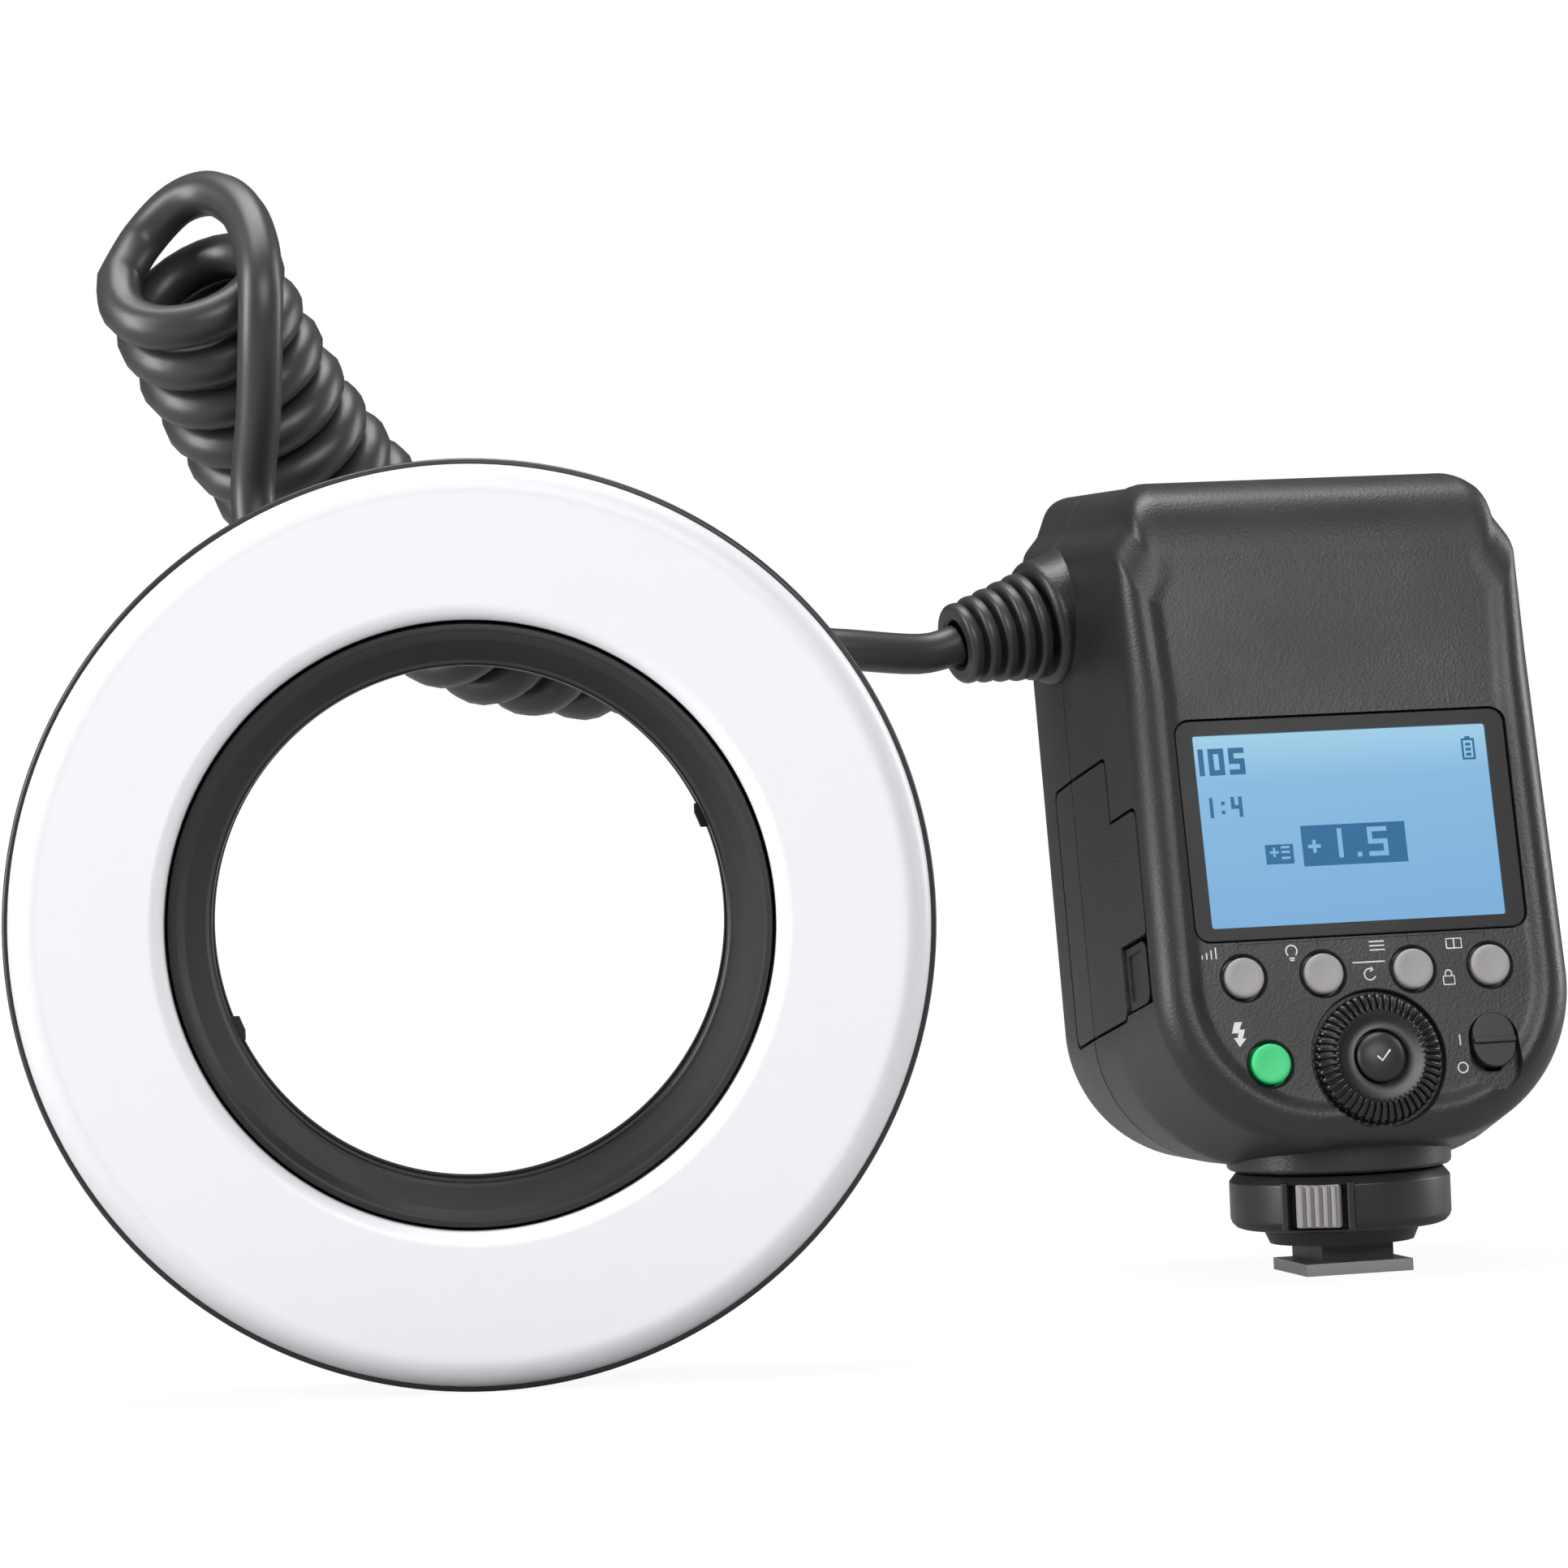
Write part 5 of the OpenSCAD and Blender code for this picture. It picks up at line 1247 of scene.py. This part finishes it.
class RINGFLASH_OT_stage(bpy.types.Operator):
    """Camera, pale floor and soft studio light"""
    bl_idname = "ringflash.stage"
    bl_label = "Stage"

    def execute(self, context):
        scene = context.scene
        scene.view_settings.view_transform = "Standard"
        right, ahead, up = (Vector(v) for v in ((0.9712, -0.2342, -0.0441), (0.2339, 0.9722, -0.0112),
                                                (0.0455, 0.0005, 0.9990)))
        camera = bpy.data.objects.new("camera", bpy.data.cameras.new("camera"))
        camera.data.sensor_width = 36
        camera.data.lens = 149.07
        camera.data.clip_end = 50
        turn = Matrix((right, up, -ahead)).transposed().to_4x4()
        camera.matrix_world = Matrix.Translation((-0.3402, -1.0308, 0.0971)) @ turn
        scene.collection.objects.link(camera)
        scene.camera = camera
        deselect()
        bpy.ops.mesh.primitive_grid_add(x_subdivisions=8, y_subdivisions=8, size=14)
        floor = fresh("floor")
        material, tree, place = blank("studio_paper")
        path = add(tree, "ShaderNodeLightPath").outputs
        glossy = combine(tree, "MULTIPLY", path["Is Glossy Ray"], 0.15)
        seen = combine(tree, "MAXIMUM", path["Is Camera Ray"], glossy)
        seen = combine(tree, "MAXIMUM", seen, path["Is Transmission Ray"])
        reach = add(tree, "ShaderNodeVectorMath", {0: place}, operation="LENGTH").outputs["Value"]
        share = combine(tree, "MULTIPLY", seen, remap(tree, reach, 0.35, 1.4, 0.82))
        paper = add(tree, "ShaderNodeBsdfDiffuse", {"Color": (0.38, 0.38, 0.38, 1)})
        white = add(tree, "ShaderNodeEmission", {"Color": (1, 1, 1, 1), "Strength": 1.14})
        both = add(tree, "ShaderNodeMixShader", {0: share, 1: paper.outputs[0], 2: white.outputs[0]})
        add(tree, "ShaderNodeOutputMaterial", {"Surface": both.outputs[0]})
        floor.data.materials.append(material)
        world = bpy.data.worlds.new("studio")
        scene.world = world
        world.use_nodes = True
        tree = world.node_tree
        tree.nodes.clear()
        path = add(tree, "ShaderNodeLightPath").outputs
        seen = combine(tree, "MAXIMUM", path["Is Camera Ray"], path["Is Transmission Ray"])
        level = remap(tree, seen, 0, 1, 0.12)
        sky = add(tree, "ShaderNodeBackground", {"Color": (1, 1, 1, 1), "Strength": level})
        add(tree, "ShaderNodeOutputWorld", {"Surface": sky.outputs[0]})
        lamp("top_box", (-0.1, 0.1, 1.1), (-0.08, 0, 0.08), 0.9, 12, 0.5)
        lamp("left_strip", (-1.05, -0.12, 0.35), (-0.08, 0, 0.08), 0.2, 11, 0.8)
        lamp("front_box", (0.02, -1.08, 0.62), (-0.05, 0, 0.08), 0.8, 7.6, 0.45)
        lamp("right_strip", (1.05, 0.1, 0.4), (-0.02, 0, 0.08), 0.2, 8, 0.9)
        return {"FINISHED"}


class RINGFLASH_PT_panel(bpy.types.Panel):
    """Lists the pieces of the ring flash"""
    bl_idname = "RINGFLASH_PT_panel"
    bl_label = "Ring flash"
    bl_space_type = "VIEW_3D"
    bl_region_type = "UI"
    bl_category = "Ring flash"

    def draw(self, context):
        for group in (context.scene.ring_flash_sizes, context.scene.ring_flash_colours):
            for key in group.__annotations__:
                self.layout.prop(group, key)
        for operator in OPERATORS:
            self.layout.operator(operator.bl_idname)


OPERATORS = (RINGFLASH_OT_stage, RINGFLASH_OT_cord, RINGFLASH_OT_ring_head, RINGFLASH_OT_reliefs,
             RINGFLASH_OT_shells, RINGFLASH_OT_battery, RINGFLASH_OT_port_cover, RINGFLASH_OT_display,
             RINGFLASH_OT_keys, RINGFLASH_OT_dial, RINGFLASH_OT_switch, RINGFLASH_OT_marks,
             RINGFLASH_OT_shoe, RINGFLASH_OT_inner_pieces)
GROUPS = (RingFlashSizes, RingFlashColours)


def register():
    for item in GROUPS + OPERATORS + (RINGFLASH_PT_panel,):
        bpy.utils.register_class(item)
    bpy.types.Scene.ring_flash_sizes = bpy.props.PointerProperty(type=RingFlashSizes)
    bpy.types.Scene.ring_flash_colours = bpy.props.PointerProperty(type=RingFlashColours)


def unregister():
    del bpy.types.Scene.ring_flash_colours
    del bpy.types.Scene.ring_flash_sizes
    for item in reversed(GROUPS + OPERATORS + (RINGFLASH_PT_panel,)):
        bpy.utils.unregister_class(item)


def main():
    register()
    for operator in OPERATORS:
        group, name = operator.bl_idname.split(".")
        getattr(getattr(bpy.ops, group), name)()


if __name__ == "__main__":
    main()
